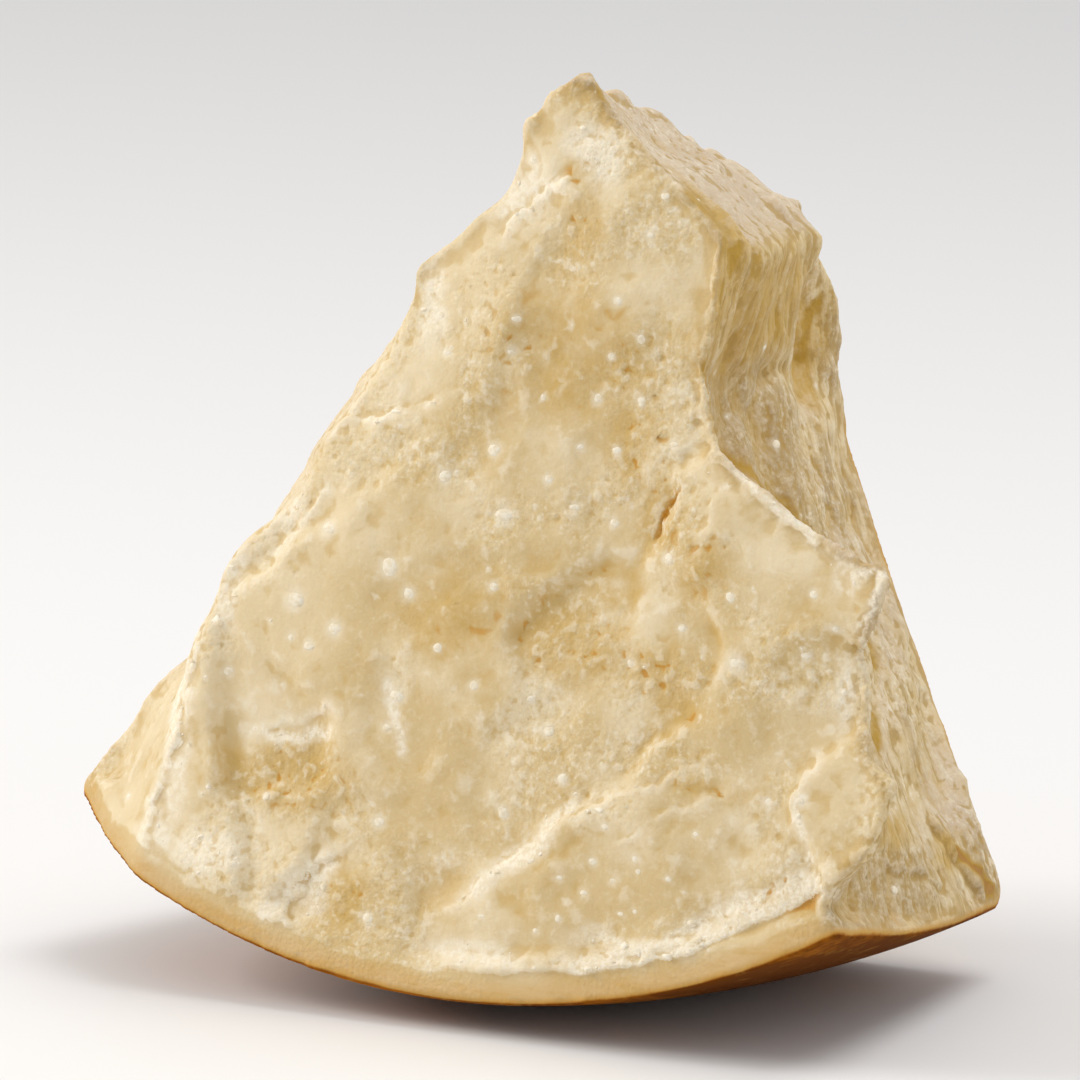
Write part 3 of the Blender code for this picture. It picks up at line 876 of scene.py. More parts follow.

# %% [markdown]
# Some areas of the wedge are painted warmer, duller or paler than what surrounds them: partly the
# paste's own tone and partly painted light and shade, pale mostly on the left facets where the light
# falls strongest, dull partly as the shadow behind the overhanging flake on the right side, and warm
# partly as shade in crevices. They are given as spots with a middle and two half widths: side and
# height on the wide break, depth and height on the right side.

# %% Warm, dull and pale areas
WARM_SPOTS = (
    (-5.1, -16.8, 1.5, 0.9), (-3.4, -19.9, 0.8, 0.8), (2.6, -12.8, 2.0, 0.9), (5.1, -13.2, 1.2, 0.8),
    (5.5, -14.1, 0.9, 0.5), (7.0, -16.1, 1.1, 0.4), (3.6, -11.2, 0.9, 0.5), (1.6, -2.4, 0.6, 0.8),
    (1.6, -5.6, 2.0, 1.6), (-6.6, -16.7, 0.8, 0.5), (3.7, -7.7, 0.8, 1.2), (4.7, -9.4, 0.5, 1.0),
    (1.4, -1.2, 0.5, 0.3), (9.3, -18.4, 1.2, 0.5), (-1.0, -12.5, 1.4, 1.2), (6.2, -10.6, 0.7, 0.7),
)
RIGHT_WARM_SPOTS = (
    (0.9, -3.4, 0.8, 2.2), (9.8, -5.0, 0.9, 1.4), (4.6, -3.8, 3.4, 1.5), (2.5, -5.0, 1.2, 0.8),
    (8.9, -17.2, 0.7, 0.5), (0.9, -8.2, 0.5, 1.0), (5.0, -16.6, 1.6, 0.4),
)
RIGHT_DULL_SPOTS = (
    (4.5, -7.4, 3.6, 1.5), (4.2, -17.9, 3.4, 0.9), (2.6, -13.2, 2.8, 3.4),
)
PALE_AREAS = (
    (-9.6, -15.5, 2.8, 5.4), (-6.4, -13.0, 2.3, 2.8), (-4.6, -9.4, 1.6, 2.4), (10.0, -15.6, 1.0, 1.6),
    (0.3, -1.6, 1.7, 1.4), (-1.6, -3.6, 1.5, 1.8), (-3.4, -5.6, 1.6, 2.4), (8.2, -9.6, 1.4, 0.9),
    (10.6, -11.0, 0.9, 0.9), (-6.4, -18.8, 2.2, 1.0), (10.6, -12.4, 0.4, 1.8), (7.2, -8.4, 1.2, 0.4),
)

warm = np.maximum(in_spots(places, WARM_SPOTS) * front, in_spots(places, RIGHT_WARM_SPOTS, 1) * right)
dull = in_spots(places, RIGHT_DULL_SPOTS, 1) * right
pale = in_spots(places, PALE_AREAS) * front
print("warm:", round(float(warm.mean()) * 100), "% of the net, pale:", round(float(pale.mean()) * 100), "%")

# %% [markdown]
# The thin edges of flakes are painted white, partly bruised paste and partly painted highlight where
# the edges catch the light. So are crumbling crests, a few spots and the shelf above the rim. Moist
# seams stay golden: along their lines, in the corner behind the wide break, and most of all in a strip
# at the lower right. Drift breaks them up, because a whole line looks painted.

# %% White edges and golden seams
PALE_SPOTS = (
    (-8.4, -16.0, 0.35, 2.6), (-8.9, -18.7, 0.5, 0.9), (-4.1, -19.6, 0.5, 0.9), (-7.3, -19.0, 0.9, 0.5),
    (-7.6, -12.0, 0.5, 1.6), (-6.4, -9.8, 0.7, 1.0), (10.4, -10.4, 0.5, 0.5), (6.4, -8.1, 0.4, 0.5),
    (-0.3, -1.8, 0.8, 0.9), (0.6, -20.9, 1.8, 0.3), (5.5, -20.0, 2.2, 0.3),
    (-4.8, -6.6, 0.5, 1.2), (1.8, -0.6, 0.7, 0.7), (-2.4, -4.6, 0.4, 1.2), (10.5, -13.0, 0.3, 1.2),
)
WHITE_LINES = (
    (((6.0, -7.5), (6.5, -7.9), (7.2, -8.3), (7.9, -8.9), (8.6, -9.3), (9.4, -9.8), (10.1, -10.2),
      (10.4, -10.3), (11.1, -10.2), (11.1, -10.6), (10.8, -11.4), (10.8, -12.7), (10.7, -13.6)), 0.10),
    (((-8.2, -12.0), (-8.6, -13.9), (-8.9, -15.5), (-8.4, -16.6), (-8.8, -18.2), (-9.3, -19.6)), 0.32),
    (((-7.0, -15.8), (-6.6, -15.9), (-5.6, -16.0), (-4.4, -15.8), (-3.8, -15.5)), 0.12),
    (((-5.6, -20.9), (-5.3, -20.4), (-4.7, -19.6), (-4.0, -19.1), (-3.3, -18.4)), 0.24),
    (((-2.7, -14.0), (-2.6, -14.4), (-2.3, -15.1), (-2.0, -15.8), (-1.8, -16.2)), 0.12),
    (((-1.0, -2.9), (-0.8, -2.6), (0.0, -2.0), (0.8, -1.3), (1.0, -1.1)), 0.12),
    (((3.2, -20.8), (4.1, -20.6), (5.8, -20.1), (7.6, -18.9), (9.8, -17.8), (10.3, -17.5)), 0.18),
    (((9.2, -15.6), (9.4, -16.0), (9.8, -17.3), (10.3, -18.1), (10.4, -18.4)), 0.14),
    (((-0.3, -19.7), (0.3, -19.4), (0.7, -19.0), (1.3, -18.4), (2.0, -18.0), (2.5, -17.3),
      (3.0, -16.8), (3.4, -16.5)), 0.20),
)
HONEY_STRIP = (((8.9, -16.5), (9.4, -17.0), (10.1, -17.5), (10.7, -17.9), (11.4, -18.3)), 0.18)
CORNER_SHARE, STRIP_SHARE, WHITE_SHARE, SPOT_SHARE = 0.9, 1.3, 0.9, 0.8

behind_edge = fade(right, 0.05, 0.35)
apex = (1.0 - front) * top_share(facing) * fade(places[:, 2], -2.6, -1.0)
corner = (1.0 - fade(places[:, 1], 0.2, 1.3)) * fade(places[:, 2], -9.0, -7.0)
corner *= np.maximum(behind_edge, apex) * fade(rough(places, 1.2, 95), -0.6, 0.3)
strip = near_lines(places, (HONEY_STRIP,)) * right
seams = near_lines(places, SEAMS) * behind_edge * fade(rough(places, 0.9, 97), -0.8, 0.3)
seams = np.maximum(CORNER_SHARE * corner, np.maximum(seams, STRIP_SHARE * strip))
crests = np.maximum(ledge_relief(places, LEDGES)[1], SPOT_SHARE * in_spots(places, PALE_SPOTS)) * front
white = near_lines(places, WHITE_LINES, 0) * (1.0 - fade(places[:, 1], 0.8, 1.6))
white = np.maximum(white, shelf_share(places, front) * fade(places[:, 0], 2.0, 4.0))
crests = np.maximum(crests, WHITE_SHARE * white)
print("white edges:", int((crests > 0.5).sum()), "points, seams:", int((seams > 0.5).sum()))

# %% [markdown]
# All of these numbers are stored in the mesh as attributes, one for each point, and the materials
# read them by name. Dull paste is less grainy, and the crack shows on the wide break alone.

# %% Store what the paste remembers
MEMORY_LIMIT = 1.5


def store(piece, name, values):
    """Keep one number for each point of a piece, under a name."""
    attribute = piece.data.attributes.new(name, "FLOAT", "POINT")
    attribute.data.foreach_set("value", values.astype(np.float32))


memories = {
    "hollow": np.clip(hollow, -MEMORY_LIMIT, MEMORY_LIMIT),
    "basin": np.clip(basin, -MEMORY_LIMIT, MEMORY_LIMIT),
    "grainy": graininess(places, front) * (1.0 - 0.75 * dull),
    "cracked": np.clip(crack_depth(places) / CRACK_DEEP, 0.0, 1.0) * (places[:, 1] < 2.0),
    "crest": crests,
    "warm": warm,
    "seam": seams,
    "pale": pale,
    # How far a side faces the left panel; the material paints such sides lighter, as painted light.
    "left": left_share(facing) * (1.0 - front),
    "dull": dull,
    "waxy": in_spots(places, CLEAN_PATCHES) * front,
    "top": top_share(facing) * (1.0 - front),
    "wide_break": front,
}
for name, values in memories.items():
    store(wedge, name, values)
print("stored", ", ".join(memories))

# %% [markdown]
# ## Writing a material as sums
#
# A material is a net of nodes, and most of them only add, multiply or compare numbers. To keep that
# readable, a small class stands for one output socket and lets Python's own signs make the nodes.


# %% A socket that can be added and multiplied
class Signal:
    """One output socket of a material. Sums of signals add Math nodes."""

    def __init__(self, recipe, socket):
        self.recipe = recipe
        self.socket = socket

    def math(self, operation, *others):
        values = dict(enumerate((self, *others)))
        return self.recipe.node("ShaderNodeMath", {"operation": operation}, values)

    def __add__(self, other):
        return self.math("ADD", other)

    def __sub__(self, other):
        return self.math("SUBTRACT", other)

    def __rsub__(self, other):
        return self.recipe.node("ShaderNodeMath", {"operation": "SUBTRACT"}, {0: other, 1: self})

    def __mul__(self, other):
        return self.math("MULTIPLY", other)

    __radd__ = __add__
    __rmul__ = __mul__

    def most(self, other):
        """The larger of two signals."""
        return self.math("MAXIMUM", other)

    def between(self, start, end):
        """0 before start and 1 past end, with a smooth change between them."""
        return self.recipe.node("ShaderNodeMapRange", {"interpolation_type": "SMOOTHSTEP"},
                                {"Value": self, "From Min": start, "From Max": end})


# %% [markdown]
# A second class holds one material. It makes any node and lays colours over each other. What is the
# same all over a piece is set on the shader's own sockets.


# %% A material that makes its own nodes
class Recipe:
    """One material, its shader and the nodes that feed it."""

    def __init__(self, name, roughness=0.6):
        self.material = plain_material(name, (0.5, 0.5, 0.5), roughness)
        self.tree = self.material.node_tree
        self.shader = self.tree.nodes["Principled BSDF"]
        self.places = self.node("ShaderNodeTexCoord", output="Object")

    def node(self, kind, settings=None, inputs=None, output=0):
        """Make a node, set its settings first and then its sockets, and hand back an output."""
        made = self.tree.nodes.new(kind)
        for name, value in (settings or {}).items():
            if name == "stops":
                self.set_stops(made.color_ramp, value)
            else:
                setattr(made, name, value)
        for name, value in (inputs or {}).items():
            self.feed(made.inputs[name], value)
        return Signal(self, made.outputs[output])

    def feed(self, socket, value):
        """Link a signal to a socket, or write a plain value into it."""
        if isinstance(value, Signal):
            self.tree.links.new(value.socket, socket)
        else:
            socket.default_value = value

    def set_stops(self, ramp, stops):
        """Give a colour ramp its stops."""
        while len(ramp.elements) < len(stops):
            ramp.elements.new(1.0)
        for element, (position, colour) in zip(ramp.elements, stops):
            element.position = position
            element.color = (*colour, 1.0)

    def mix(self, first, second, share):
        """Blend two colours. The colour sockets of a Mix node are its seventh and eighth."""
        first, second = (value if isinstance(value, Signal) else (*value, 1.0)
                         for value in (first, second))
        settings = {"data_type": "RGBA", "blend_type": "MIX", "clamp_factor": True}
        return self.node("ShaderNodeMix", settings, {0: share, 6: first, 7: second}, output=2)

    def layers(self, colour, *glazes):
        """A colour with others laid over it in turn, each with its share."""
        for glaze, share in glazes:
            colour = self.mix(colour, glaze, share)
        return colour

    def noise(self, size, detail=2.0, roughness=0.5, places=None):
        """Cloudy noise from 0 to 1 that changes over about one size, in metres."""
        inputs = {"Vector": places or self.places, "Scale": 1.0 / size, "Detail": detail,
                  "Roughness": roughness}
        return self.node("ShaderNodeTexNoise", {}, inputs, output="Fac")

    def cells(self, size):
        """The distance to the middle of the nearest of many cells about one size across."""
        inputs = {"Vector": self.places, "Scale": 1.0 / size}
        return self.node("ShaderNodeTexVoronoi", {}, inputs, output="Distance")

    def memories(self, names):
        """Numbers that are stored in the mesh, one for each name."""
        return [self.node("ShaderNodeAttribute", {"attribute_name": name}, {}, output="Fac")
                for name in names.split()]

    def turned(self, move=(0.0, 0.0, 0.0), stretch=(1.0, 1.0, 1.0)):
        """Object coordinates stretched, turned upright like the drum, and moved."""
        inputs = {"Vector": self.places, "Location": move, "Rotation": (LEAN, 0.0, 0.0),
                  "Scale": stretch}
        return self.node("ShaderNodeMapping", {"vector_type": "POINT"}, inputs)

    def bump(self, height, distance, strength):
        """Fine relief that only the light sees."""
        inputs = {"Height": height, "Distance": distance, "Strength": strength}
        return self.node("ShaderNodeBump", {}, inputs)

    def finish(self, **sockets):
        """Feed the shader's sockets, named with _ for a space."""
        for name, value in sockets.items():
            self.feed(self.shader.inputs[name.replace("_", " ")], value)
        return self.material


print("materials can now be written as sums")

# %% [markdown]
# ## The paste
#
# The paste runs from straw on waxy patches to chalk on dry edges and ochre in hollows, where the ochre
# is painted shade, with specks of all three on grainy ground. The torn sides and the top are streaky,
# duller and browner. A colour is built up as a painter would, in thin glazes from the broadest to the
# finest.

# %% The colours of the cheese
STRAW = (0.660, 0.500, 0.262)
CREAM = (0.775, 0.645, 0.425)
CHALK = (0.900, 0.820, 0.660)
OCHRE = (0.575, 0.375, 0.112)
AMBER = (0.560, 0.245, 0.022)
BURNT = (0.465, 0.280, 0.050)
TAUPE = (0.430, 0.310, 0.170)
BROWN = (0.385, 0.245, 0.075)
ROSY = (0.650, 0.530, 0.400)
PEACH = (0.665, 0.445, 0.208)
HONEY = (0.600, 0.345, 0.085)
# GOLDEN and RUSSET, for the drum's side, are darker and redder than a lit golden ochre rind: painted shade
# for the underside.
GOLDEN = (0.360, 0.118, 0.006)
RUSSET = (0.095, 0.023, 0.002)
TANNED = (0.400, 0.195, 0.062)
TAWNY = (0.600, 0.350, 0.120)
print("straw is", [round(channel ** (1 / 2.2) * 255) for channel in STRAW], "on a screen")


# %% Mix the broken paste
SPECK_SIZE, FLECK_SIZE, STREAK_SIZE = 1.5 * MM, 3.4 * MM, 3.4 * MM
SIDE_STRETCH, TOP_STRETCH = (0.30, 1.0, 0.06), (1.0, 0.06, 0.30)


def side_colour(recipe, clouds, blots, streaks, specks):
    """The streaky paste of the torn sides and the top."""
    dull, top, left, warm = recipe.memories("dull top left warm")
    return recipe.layers(
        TAUPE,
        (STRAW, clouds.between(0.35, 0.60)),
        (CREAM, (streaks + (blots - 0.5) * 0.8).between(0.42, 0.72) * 0.8),
        (BROWN, (1.0 - streaks).between(0.47, 0.66) * 0.7),
        # The dull spots are partly painted shade behind the overhanging flake.
        (TAUPE, dull * 0.65),
        (BROWN, dull * (1.0 - specks).between(0.46, 0.60) * 0.75),
        (ROSY, top * 0.8),
        # Sides that face the left panel are painted lighter, cream and rosy: painted light, partly also the
        # chalky rubbed left edge.
        (CREAM, left * 0.70),
        (ROSY, left * 0.25),
        (BURNT, warm * (0.25 + (1.0 - streaks).between(0.44, 0.58) * 0.60)),
    )


def paste_colour(recipe, clouds, blots, streaks):
    """The colour of broken paste, without the rind."""
    hollow, basin, grainy, cracked, crest = recipe.memories("hollow basin grainy cracked crest")
    warm, waxy, pale, left = recipe.memories("warm waxy pale left")
    wide_break, halo, seam = recipe.memories("wide_break halo seam")
    specks = recipe.noise(SPECK_SIZE, roughness=0.6)
    flecks = recipe.noise(FLECK_SIZE, roughness=0.7)
    speckle = specks + (blots - 0.5) * 0.5
    dusky = warm * (0.30 + blots.between(0.35, 0.6) * 0.25 + (1.0 - streaks).between(0.4, 0.6) * 0.25)
    chalky = crest * (0.55 + (1.0 - specks).between(0.4, 0.6) * 0.45)
    # Chalk on raised specks is partly painted highlight. Brown in the hollows of the sides, less on sides
    # facing the left panel, and amber in the warm hollows of the wide break are painted shade.
    ridges = (specks - 0.5 - hollow).between(0.25, 1.2) * (0.10 + wide_break * 0.25)
    shaded = (1.0 - wide_break) * (1.0 - left * 0.65)
    amber_in_shade = warm * wide_break * hollow.between(0.7, 1.4) * 0.7
    return recipe.layers(
        STRAW,
        (CREAM, (clouds - waxy * 0.12).between(0.32, 0.66)),
        (OCHRE, blots.between(0.50, 0.76) * 0.22),
        (CHALK, (1.0 - blots).between(0.56, 0.80) * 0.20),
        (side_colour(recipe, clouds, blots, streaks, specks), (1.0 - wide_break) * 0.85),
        (CHALK, speckle.between(0.54, 0.72) * (0.10 + grainy * 0.28)),
        (OCHRE, (1.0 - speckle).between(0.54, 0.74) * (0.08 + grainy * 0.34)),
        (CHALK, flecks.between(0.57, 0.70) * (0.14 + grainy * 0.20)),
        (OCHRE, (1.0 - flecks).between(0.57, 0.70) * (0.06 + grainy * 0.24)),
        # The pale and the dusky glazes are partly painted light on the left facets and painted shade in
        # crevices.
        (CREAM, pale * 0.52),
        (OCHRE, dusky),
        # Ochre in basins and hollows and brown in hollows are painted shade; chalk on crests and ridges is
        # partly painted highlight.
        (OCHRE, basin.between(0.2, 1.1) * 0.45),
        (CHALK, chalky.most(ridges)),
        (OCHRE, hollow.between(0.3, 1.3) * 0.50),
        (BROWN, hollow.between(0.2, 1.1) * shaded * 0.45),
        (CHALK, halo.between(0.0, 0.7) * 0.45),
        (BURNT, seam * (0.65 + specks * 0.6)),
        (TANNED, seam.between(1.0, 1.3) * 0.75),
        (AMBER, cracked.most(amber_in_shade)),
    )


def streak_noise(recipe):
    """Fine lines for the torn sides, turned to run from front to back on top."""
    lines = [recipe.noise(STREAK_SIZE, detail=4.0, roughness=0.76, places=recipe.turned(stretch=stretch))
             for stretch in (SIDE_STRETCH, TOP_STRETCH)]
    (top,) = recipe.memories("top")
    return lines[0] + (lines[1] - lines[0]) * top


# %% [markdown]
# ## The rind
#
# Towards the rind the paste turns to peach and honey, and the skin itself is golden brown, smooth and
# darker in blotches. Its golden and russet are darker and redder than a lit golden ochre rind: painted
# shade for the underside. The flat rind at the back is tanned, with a slight shine. How deep a place
# lies under the skin is worked out in the material from the same drum as before, so the line of the
# rind stays crisp however coarse the mesh is.


# %% Mix the rind
HONEY_START, HONEY_END = 3.0 * MM, 7.2 * MM
EDGE_START, EDGE_END, EDGE_STEEPNESS = 0.8 * MM, 2.8 * MM, 300.0
PEACH_STREAKS, PEACH_STRETCH = 4.0 * MM, (0.22, 1.0, 1.0)


def depth_under_skin(recipe):
    """Metres under the drum's skin, metres from its side, and 1 on the flat rind."""
    centre = Matrix.Rotation(LEAN, 3, "X") @ -DRUM_CENTRE
    drum = recipe.turned(move=centre)
    side, deep, up = (recipe.node("ShaderNodeSeparateXYZ", {}, {0: drum}, output=axis)
                      for axis in range(3))
    reach = (side * side + up * up).math("SQRT")
    draw = BARREL_DRAW * CM / (HALF_HEIGHT * CM) ** 2
    barrel = DRUM_RADIUS * CM - deep * deep * draw - reach
    flat = HALF_HEIGHT * CM - deep
    from_side = (RIM_ROUND * CM - barrel).most(0.0)
    from_flat = (RIM_ROUND * CM - flat).most(0.0)
    corner = (from_side * from_side + from_flat * from_flat).math("SQRT")
    return RIM_ROUND * CM - corner, barrel, (barrel - flat).between(-0.001, 0.003)


def towards_rind(recipe, paste, depth, clouds, blots):
    """Paste that turns to peach and honey near the skin, with a dark line where the skin starts: partly the
    rind's own edge, partly painted shade.
    """
    (wide_break,) = recipe.memories("wide_break")
    wavering = depth + (blots - 0.5) * 0.0030 + (clouds - 0.5) * 0.0030
    lying = recipe.turned(stretch=PEACH_STRETCH)
    along = recipe.noise(PEACH_STREAKS, detail=3.0, roughness=0.65, places=lying)
    peach = recipe.mix(PEACH, HONEY, along.between(0.42, 0.66) * 0.75)
    near_skin = depth + (blots - 0.5) * 0.0008 + (clouds - 0.5) * 0.0016
    stops = ((0.0, RUSSET), (0.14, GOLDEN), (0.30, HONEY), (1.0, PEACH))
    edge = recipe.node("ShaderNodeValToRGB", {"stops": stops}, {0: near_skin * EDGE_STEEPNESS})
    return recipe.layers(
        paste,
        (peach, (1.0 - wavering.between(HONEY_START, HONEY_END)) * (0.15 + wide_break * 0.6)),
        (edge, 1.0 - near_skin.between(EDGE_START, EDGE_END)),
    )


def skin_colour(recipe, blots, large, fine, pores, from_side, on_flat):
    """The golden side of the drum, in colours darkened as painted shade for its underside, and its tanned
    flat rind with pores.
    """
    tanned = recipe.layers(
        TAWNY,
        (TANNED, (large + (fine - 0.5) * 0.12).between(0.40, 0.62) * 0.85),
        (PEACH, (1.0 - from_side.between(0.004, 0.022)) * 0.35),
        (TANNED, (1.0 - blots).between(0.56, 0.74) * 0.35),
        (GOLDEN, (1.0 - pores.between(0.10, 0.24)) * fine.between(0.50, 0.60) * 0.5),
    )
    return recipe.layers(
        GOLDEN,
        (RUSSET, (large + (fine - 0.5) * 0.3).between(0.38, 0.62) * 0.85),
        (HONEY, (blots + (fine - 0.5) * 0.4).between(0.56, 0.76) * 0.25),
        (tanned, on_flat),
    )


# %% [markdown]
# The whole material puts the two together. Light goes a little way under the surface of cheese, which
# softens small shadows, so the shader gets some subsurface. It has hardly any shine.

# %% Give the wedge its material
PASTE_SHINE, COAT_ROUGHNESS = 0.07, 0.4
GLOW_SHARE, GLOW_COLOURS, GLOW_DEPTH = 0.10, (1.0, 0.6, 0.3), 0.004
BUMP_HEIGHT, BUMP_STRENGTH = 0.6 * MM, 0.55
CLOUD_SIZE, BLOT_SIZE, MOTTLE_SIZE = 22.0 * MM, 6.5 * MM, 60.0 * MM
FINE_SIZE, PORE_SIZE, GRAIN_SIZE, PEBBLE_SIZE = 3.0 * MM, 4.2 * MM, 0.7 * MM, 1.3 * MM


def cheese_material():
    recipe = Recipe("cheese_paste")
    grainy, wide_break = recipe.memories("grainy wide_break")
    clouds = recipe.noise(CLOUD_SIZE, detail=3.0)
    blots = recipe.noise(BLOT_SIZE, detail=3.0, roughness=0.6)
    large = recipe.noise(MOTTLE_SIZE, detail=5.0, roughness=0.62)
    fine = recipe.noise(FINE_SIZE, detail=3.0, roughness=0.6)
    pores = recipe.cells(PORE_SIZE)
    streaks = streak_noise(recipe)
    depth, from_side, on_flat = depth_under_skin(recipe)
    on_skin = 1.0 - depth.between(0.0002, 0.0007)
    paste = towards_rind(recipe, paste_colour(recipe, clouds, blots, streaks), depth, clouds, blots)
    skin = skin_colour(recipe, blots, large, fine, pores, from_side, on_flat)

    grain = recipe.noise(GRAIN_SIZE, detail=1.5, roughness=0.65)
    pebbles = 1.0 - recipe.cells(PEBBLE_SIZE)
    relief = (grain + pebbles) * (0.25 + grainy * 0.35) + streaks * (1.0 - wide_break) * 1.2
    height = relief * (1.0 - on_skin) + (fine * 0.5 + pores.between(0.0, 0.3) * 0.5) * on_skin
    return recipe.finish(
        Base_Color=recipe.mix(paste, skin, on_skin),
        Roughness=0.64 + (blots - 0.5) * 0.25 + on_skin * (0.30 - on_flat * 0.36),
        Coat_Weight=on_skin * on_flat * 0.15,
        Coat_Roughness=COAT_ROUGHNESS,
        Specular_IOR_Level=PASTE_SHINE,
        Subsurface_Weight=GLOW_SHARE,
        Subsurface_Radius=GLOW_COLOURS,
        Subsurface_Scale=GLOW_DEPTH,
        Normal=recipe.bump(height, BUMP_HEIGHT, BUMP_STRENGTH),
    )


wedge.data.materials.clear()
wedge.data.materials.append(cheese_material())
print("the cheese material has", len(wedge.data.materials[0].node_tree.nodes), "nodes")

# %% [markdown]
# ## Small lumps
#
# Crystals and crumbs are both small lumps that lie on the broken faces. A ball is made once, in a
# coarse and a fine net, and copied for each spot. Each copy is made bumpy, pressed against a few
# planes if it should have flat sides, turned to lie along the surface and sunk into it.

# %% Make lumps from a ball
LARGE_LUMP = 0.9 * MM
LUMP_STEP, LUMP_SPIN = 3.7, 2.4


def lump_shape(subdivisions):
    """The points and faces of a ball one unit in radius, made once and copied many times."""
    bpy.ops.object.select_all(action="DESELECT")
    bpy.ops.mesh.primitive_ico_sphere_add(subdivisions=subdivisions, radius=1.0)
    ball = bpy.context.active_object
    points = mesh_points(ball)
    faces = np.array([polygon.vertices[:] for polygon in ball.data.polygons])
    bpy.data.objects.remove(ball, do_unlink=True)
    return points, faces


def cut_flat(ball, number, salt, cuts):
    """Press a ball against a few planes, so that it gets flat sides."""
    for cut in range(cuts):
        spin = scrambled(np.array([(number, cut, side) for side in range(4)]), salt)
        towards = Vector(spin[:3] * 2.0 - 1.0).normalized()
        beyond = np.maximum(ball @ np.array(towards) - (0.25 + 0.5 * spin[3]), 0.0)
        ball = ball - beyond[:, None] * np.array(towards)
    return ball


def many_lumps(name, spots, flat, sunk, bumpy, salt, cuts=0):
    """One mesh of lumps, each lying on its spot: a place, a direction out and a radius."""
    every_point, every_face = [], []
    count = 0
    for number, (place, out, radius) in enumerate(spots):
        ball, faces = FINE_BALL if radius > LARGE_LUMP else COARSE_BALL
        pushed = ball * (1.0 + bumpy * rough(ball + number * LUMP_STEP, 0.9, salt))[:, None]
        pushed = cut_flat(pushed, number, salt, cuts)
        turn = np.array(Vector(out).to_track_quat("Z", "Y").to_matrix())
        spin = np.array(Matrix.Rotation(number * LUMP_SPIN, 3, "Z"))
        body = pushed @ spin.T * (1.0, 0.8 + 0.2 * math.sin(number), flat)
        lump = body @ turn.T * radius + np.array(place) - np.array(out) * radius * flat * sunk
        every_face.append(faces + count)
        every_point.append(lump)
        count += len(ball)
    mesh = bpy.data.meshes.new(name)
    mesh.from_pydata(np.concatenate(every_point).tolist(), [], np.concatenate(every_face).tolist())
    piece = bpy.data.objects.new(name, mesh)
    bpy.context.scene.collection.objects.link(piece)
    select_only(piece)
    bpy.ops.object.shade_smooth()
    return piece


FINE_BALL, COARSE_BALL = lump_shape(2), lump_shape(1)
print("a large lump has", len(FINE_BALL[1]), "faces and a small one", len(COARSE_BALL[1]))

# %% [markdown]
# ## White crystals
#
# Long ageing leaves white crystals in the paste: soft-edged dots, one to five millimetres wide, that
# sit flush in the break. They are separate lumps here, so that they catch the light on their own.
# Those that can be picked out on the wide break are listed, with their radius in millimetres, and a
# ray shot at the wedge finds the spot. The rest are scattered over all broken faces by the same
# scramble of numbers as before. Round each of them the paste is told to be a little paler.

# %% Grow the crystals
NAMED_CRYSTALS = (
    (-5.5, -12.5, 2.4), (-2.8, -11.4, 2.3), (-2.2, -12.0, 1.7), (-4.2, -13.1, 2.0), (-4.9, -13.6, 1.5),
    (0.3, -9.8, 2.2), (-7.3, -14.5, 1.5), (-0.1, -14.1, 1.3), (-1.2, -13.3, 1.1), (0.2, -11.6, 1.3),
    (-2.3, -14.6, 2.0), (-2.5, -15.4, 1.4), (-2.5, -17.8, 1.6), (2.0, -15.0, 1.5), (-10.4, -18.0, 1.1),
    (1.0, -17.2, 1.3), (1.5, -14.3, 1.1), (-4.7, -10.6, 2.0), (2.2, -9.4, 1.2), (-2.5, -20.2, 1.4),
    (2.6, -16.2, 1.4), (-1.5, -9.0, 1.5), (1.4, -8.8, 1.2), (7.3, -12.8, 2.3), (9.2, -12.4, 1.4),
    (5.6, -12.1, 1.2), (4.2, -13.1, 1.2), (5.7, -6.1, 1.3), (2.5, -6.7, 1.4), (-0.2, -8.2, 1.7),
    (9.5, -16.0, 1.3), (4.8, -7.6, 1.1), (3.7, -6.6, 1.2), (3.2, -7.9, 1.1), (7.0, -11.2, 1.2),
    (9.3, -10.9, 1.3), (10.0, -11.7, 1.1), (4.1, -17.2, 1.1), (3.8, -18.1, 1.2), (5.1, -10.4, 1.6),
    (0.0, -0.9, 1.3), (2.8, -5.6, 1.1), (0.1, -5.7, 1.1), (-1.8, -5.9, 1.4), (0.2, -4.9, 1.1),
    (-2.2, -5.0, 1.2), (2.9, -4.2, 1.2), (3.6, -5.1, 1.0), (3.3, -9.7, 1.2), (2.2, -7.9, 1.1),
    (3.6, -2.5, 1.1), (3.9, -1.5, 1.0), (5.0, -17.9, 0.9), (5.1, -18.2, 0.8), (6.0, -18.3, 0.8),
    (2.9, -18.6, 1.0), (3.6, -18.9, 1.0), (4.7, -19.3, 0.8), (5.1, -19.2, 0.7), (3.0, -19.6, 0.8),
    (2.4, -20.0, 0.8), (0.9, -17.1, 0.9), (0.8, -19.8, 0.8), (6.6, -17.1, 0.8), (4.4, -18.5, 0.7),
)
CRYSTAL_SPACING, CRYSTAL_SHARE = 1.5, 0.22
CRYSTAL_FLAT, CRYSTAL_SUNK, CRYSTAL_BUMPY = 0.30, 0.64, 0.12
CRYSTAL_GROWTH = 1.3
LEAST_CRYSTAL, CRYSTAL_SPREAD = 0.55, 1.1
HALO_REACH = 1.6


def on_wide_break(side, up):
    """Where a ray along the drum's axis meets the wide break, and the direction out."""
    start = Vector(to_frame((side, -5.0, up)))
    towards = Vector(to_frame((side, 5.0, up))) - start
    place, out, _, _ = WEDGE_TREE.ray_cast(start, towards.normalized())
    return place, out


def shuffled(salt):
    """A steady number from 0 to 1 for each mesh point."""
    return scrambled(np.arange(len(places))[:, None] * np.array((1, 7, 13)), salt)


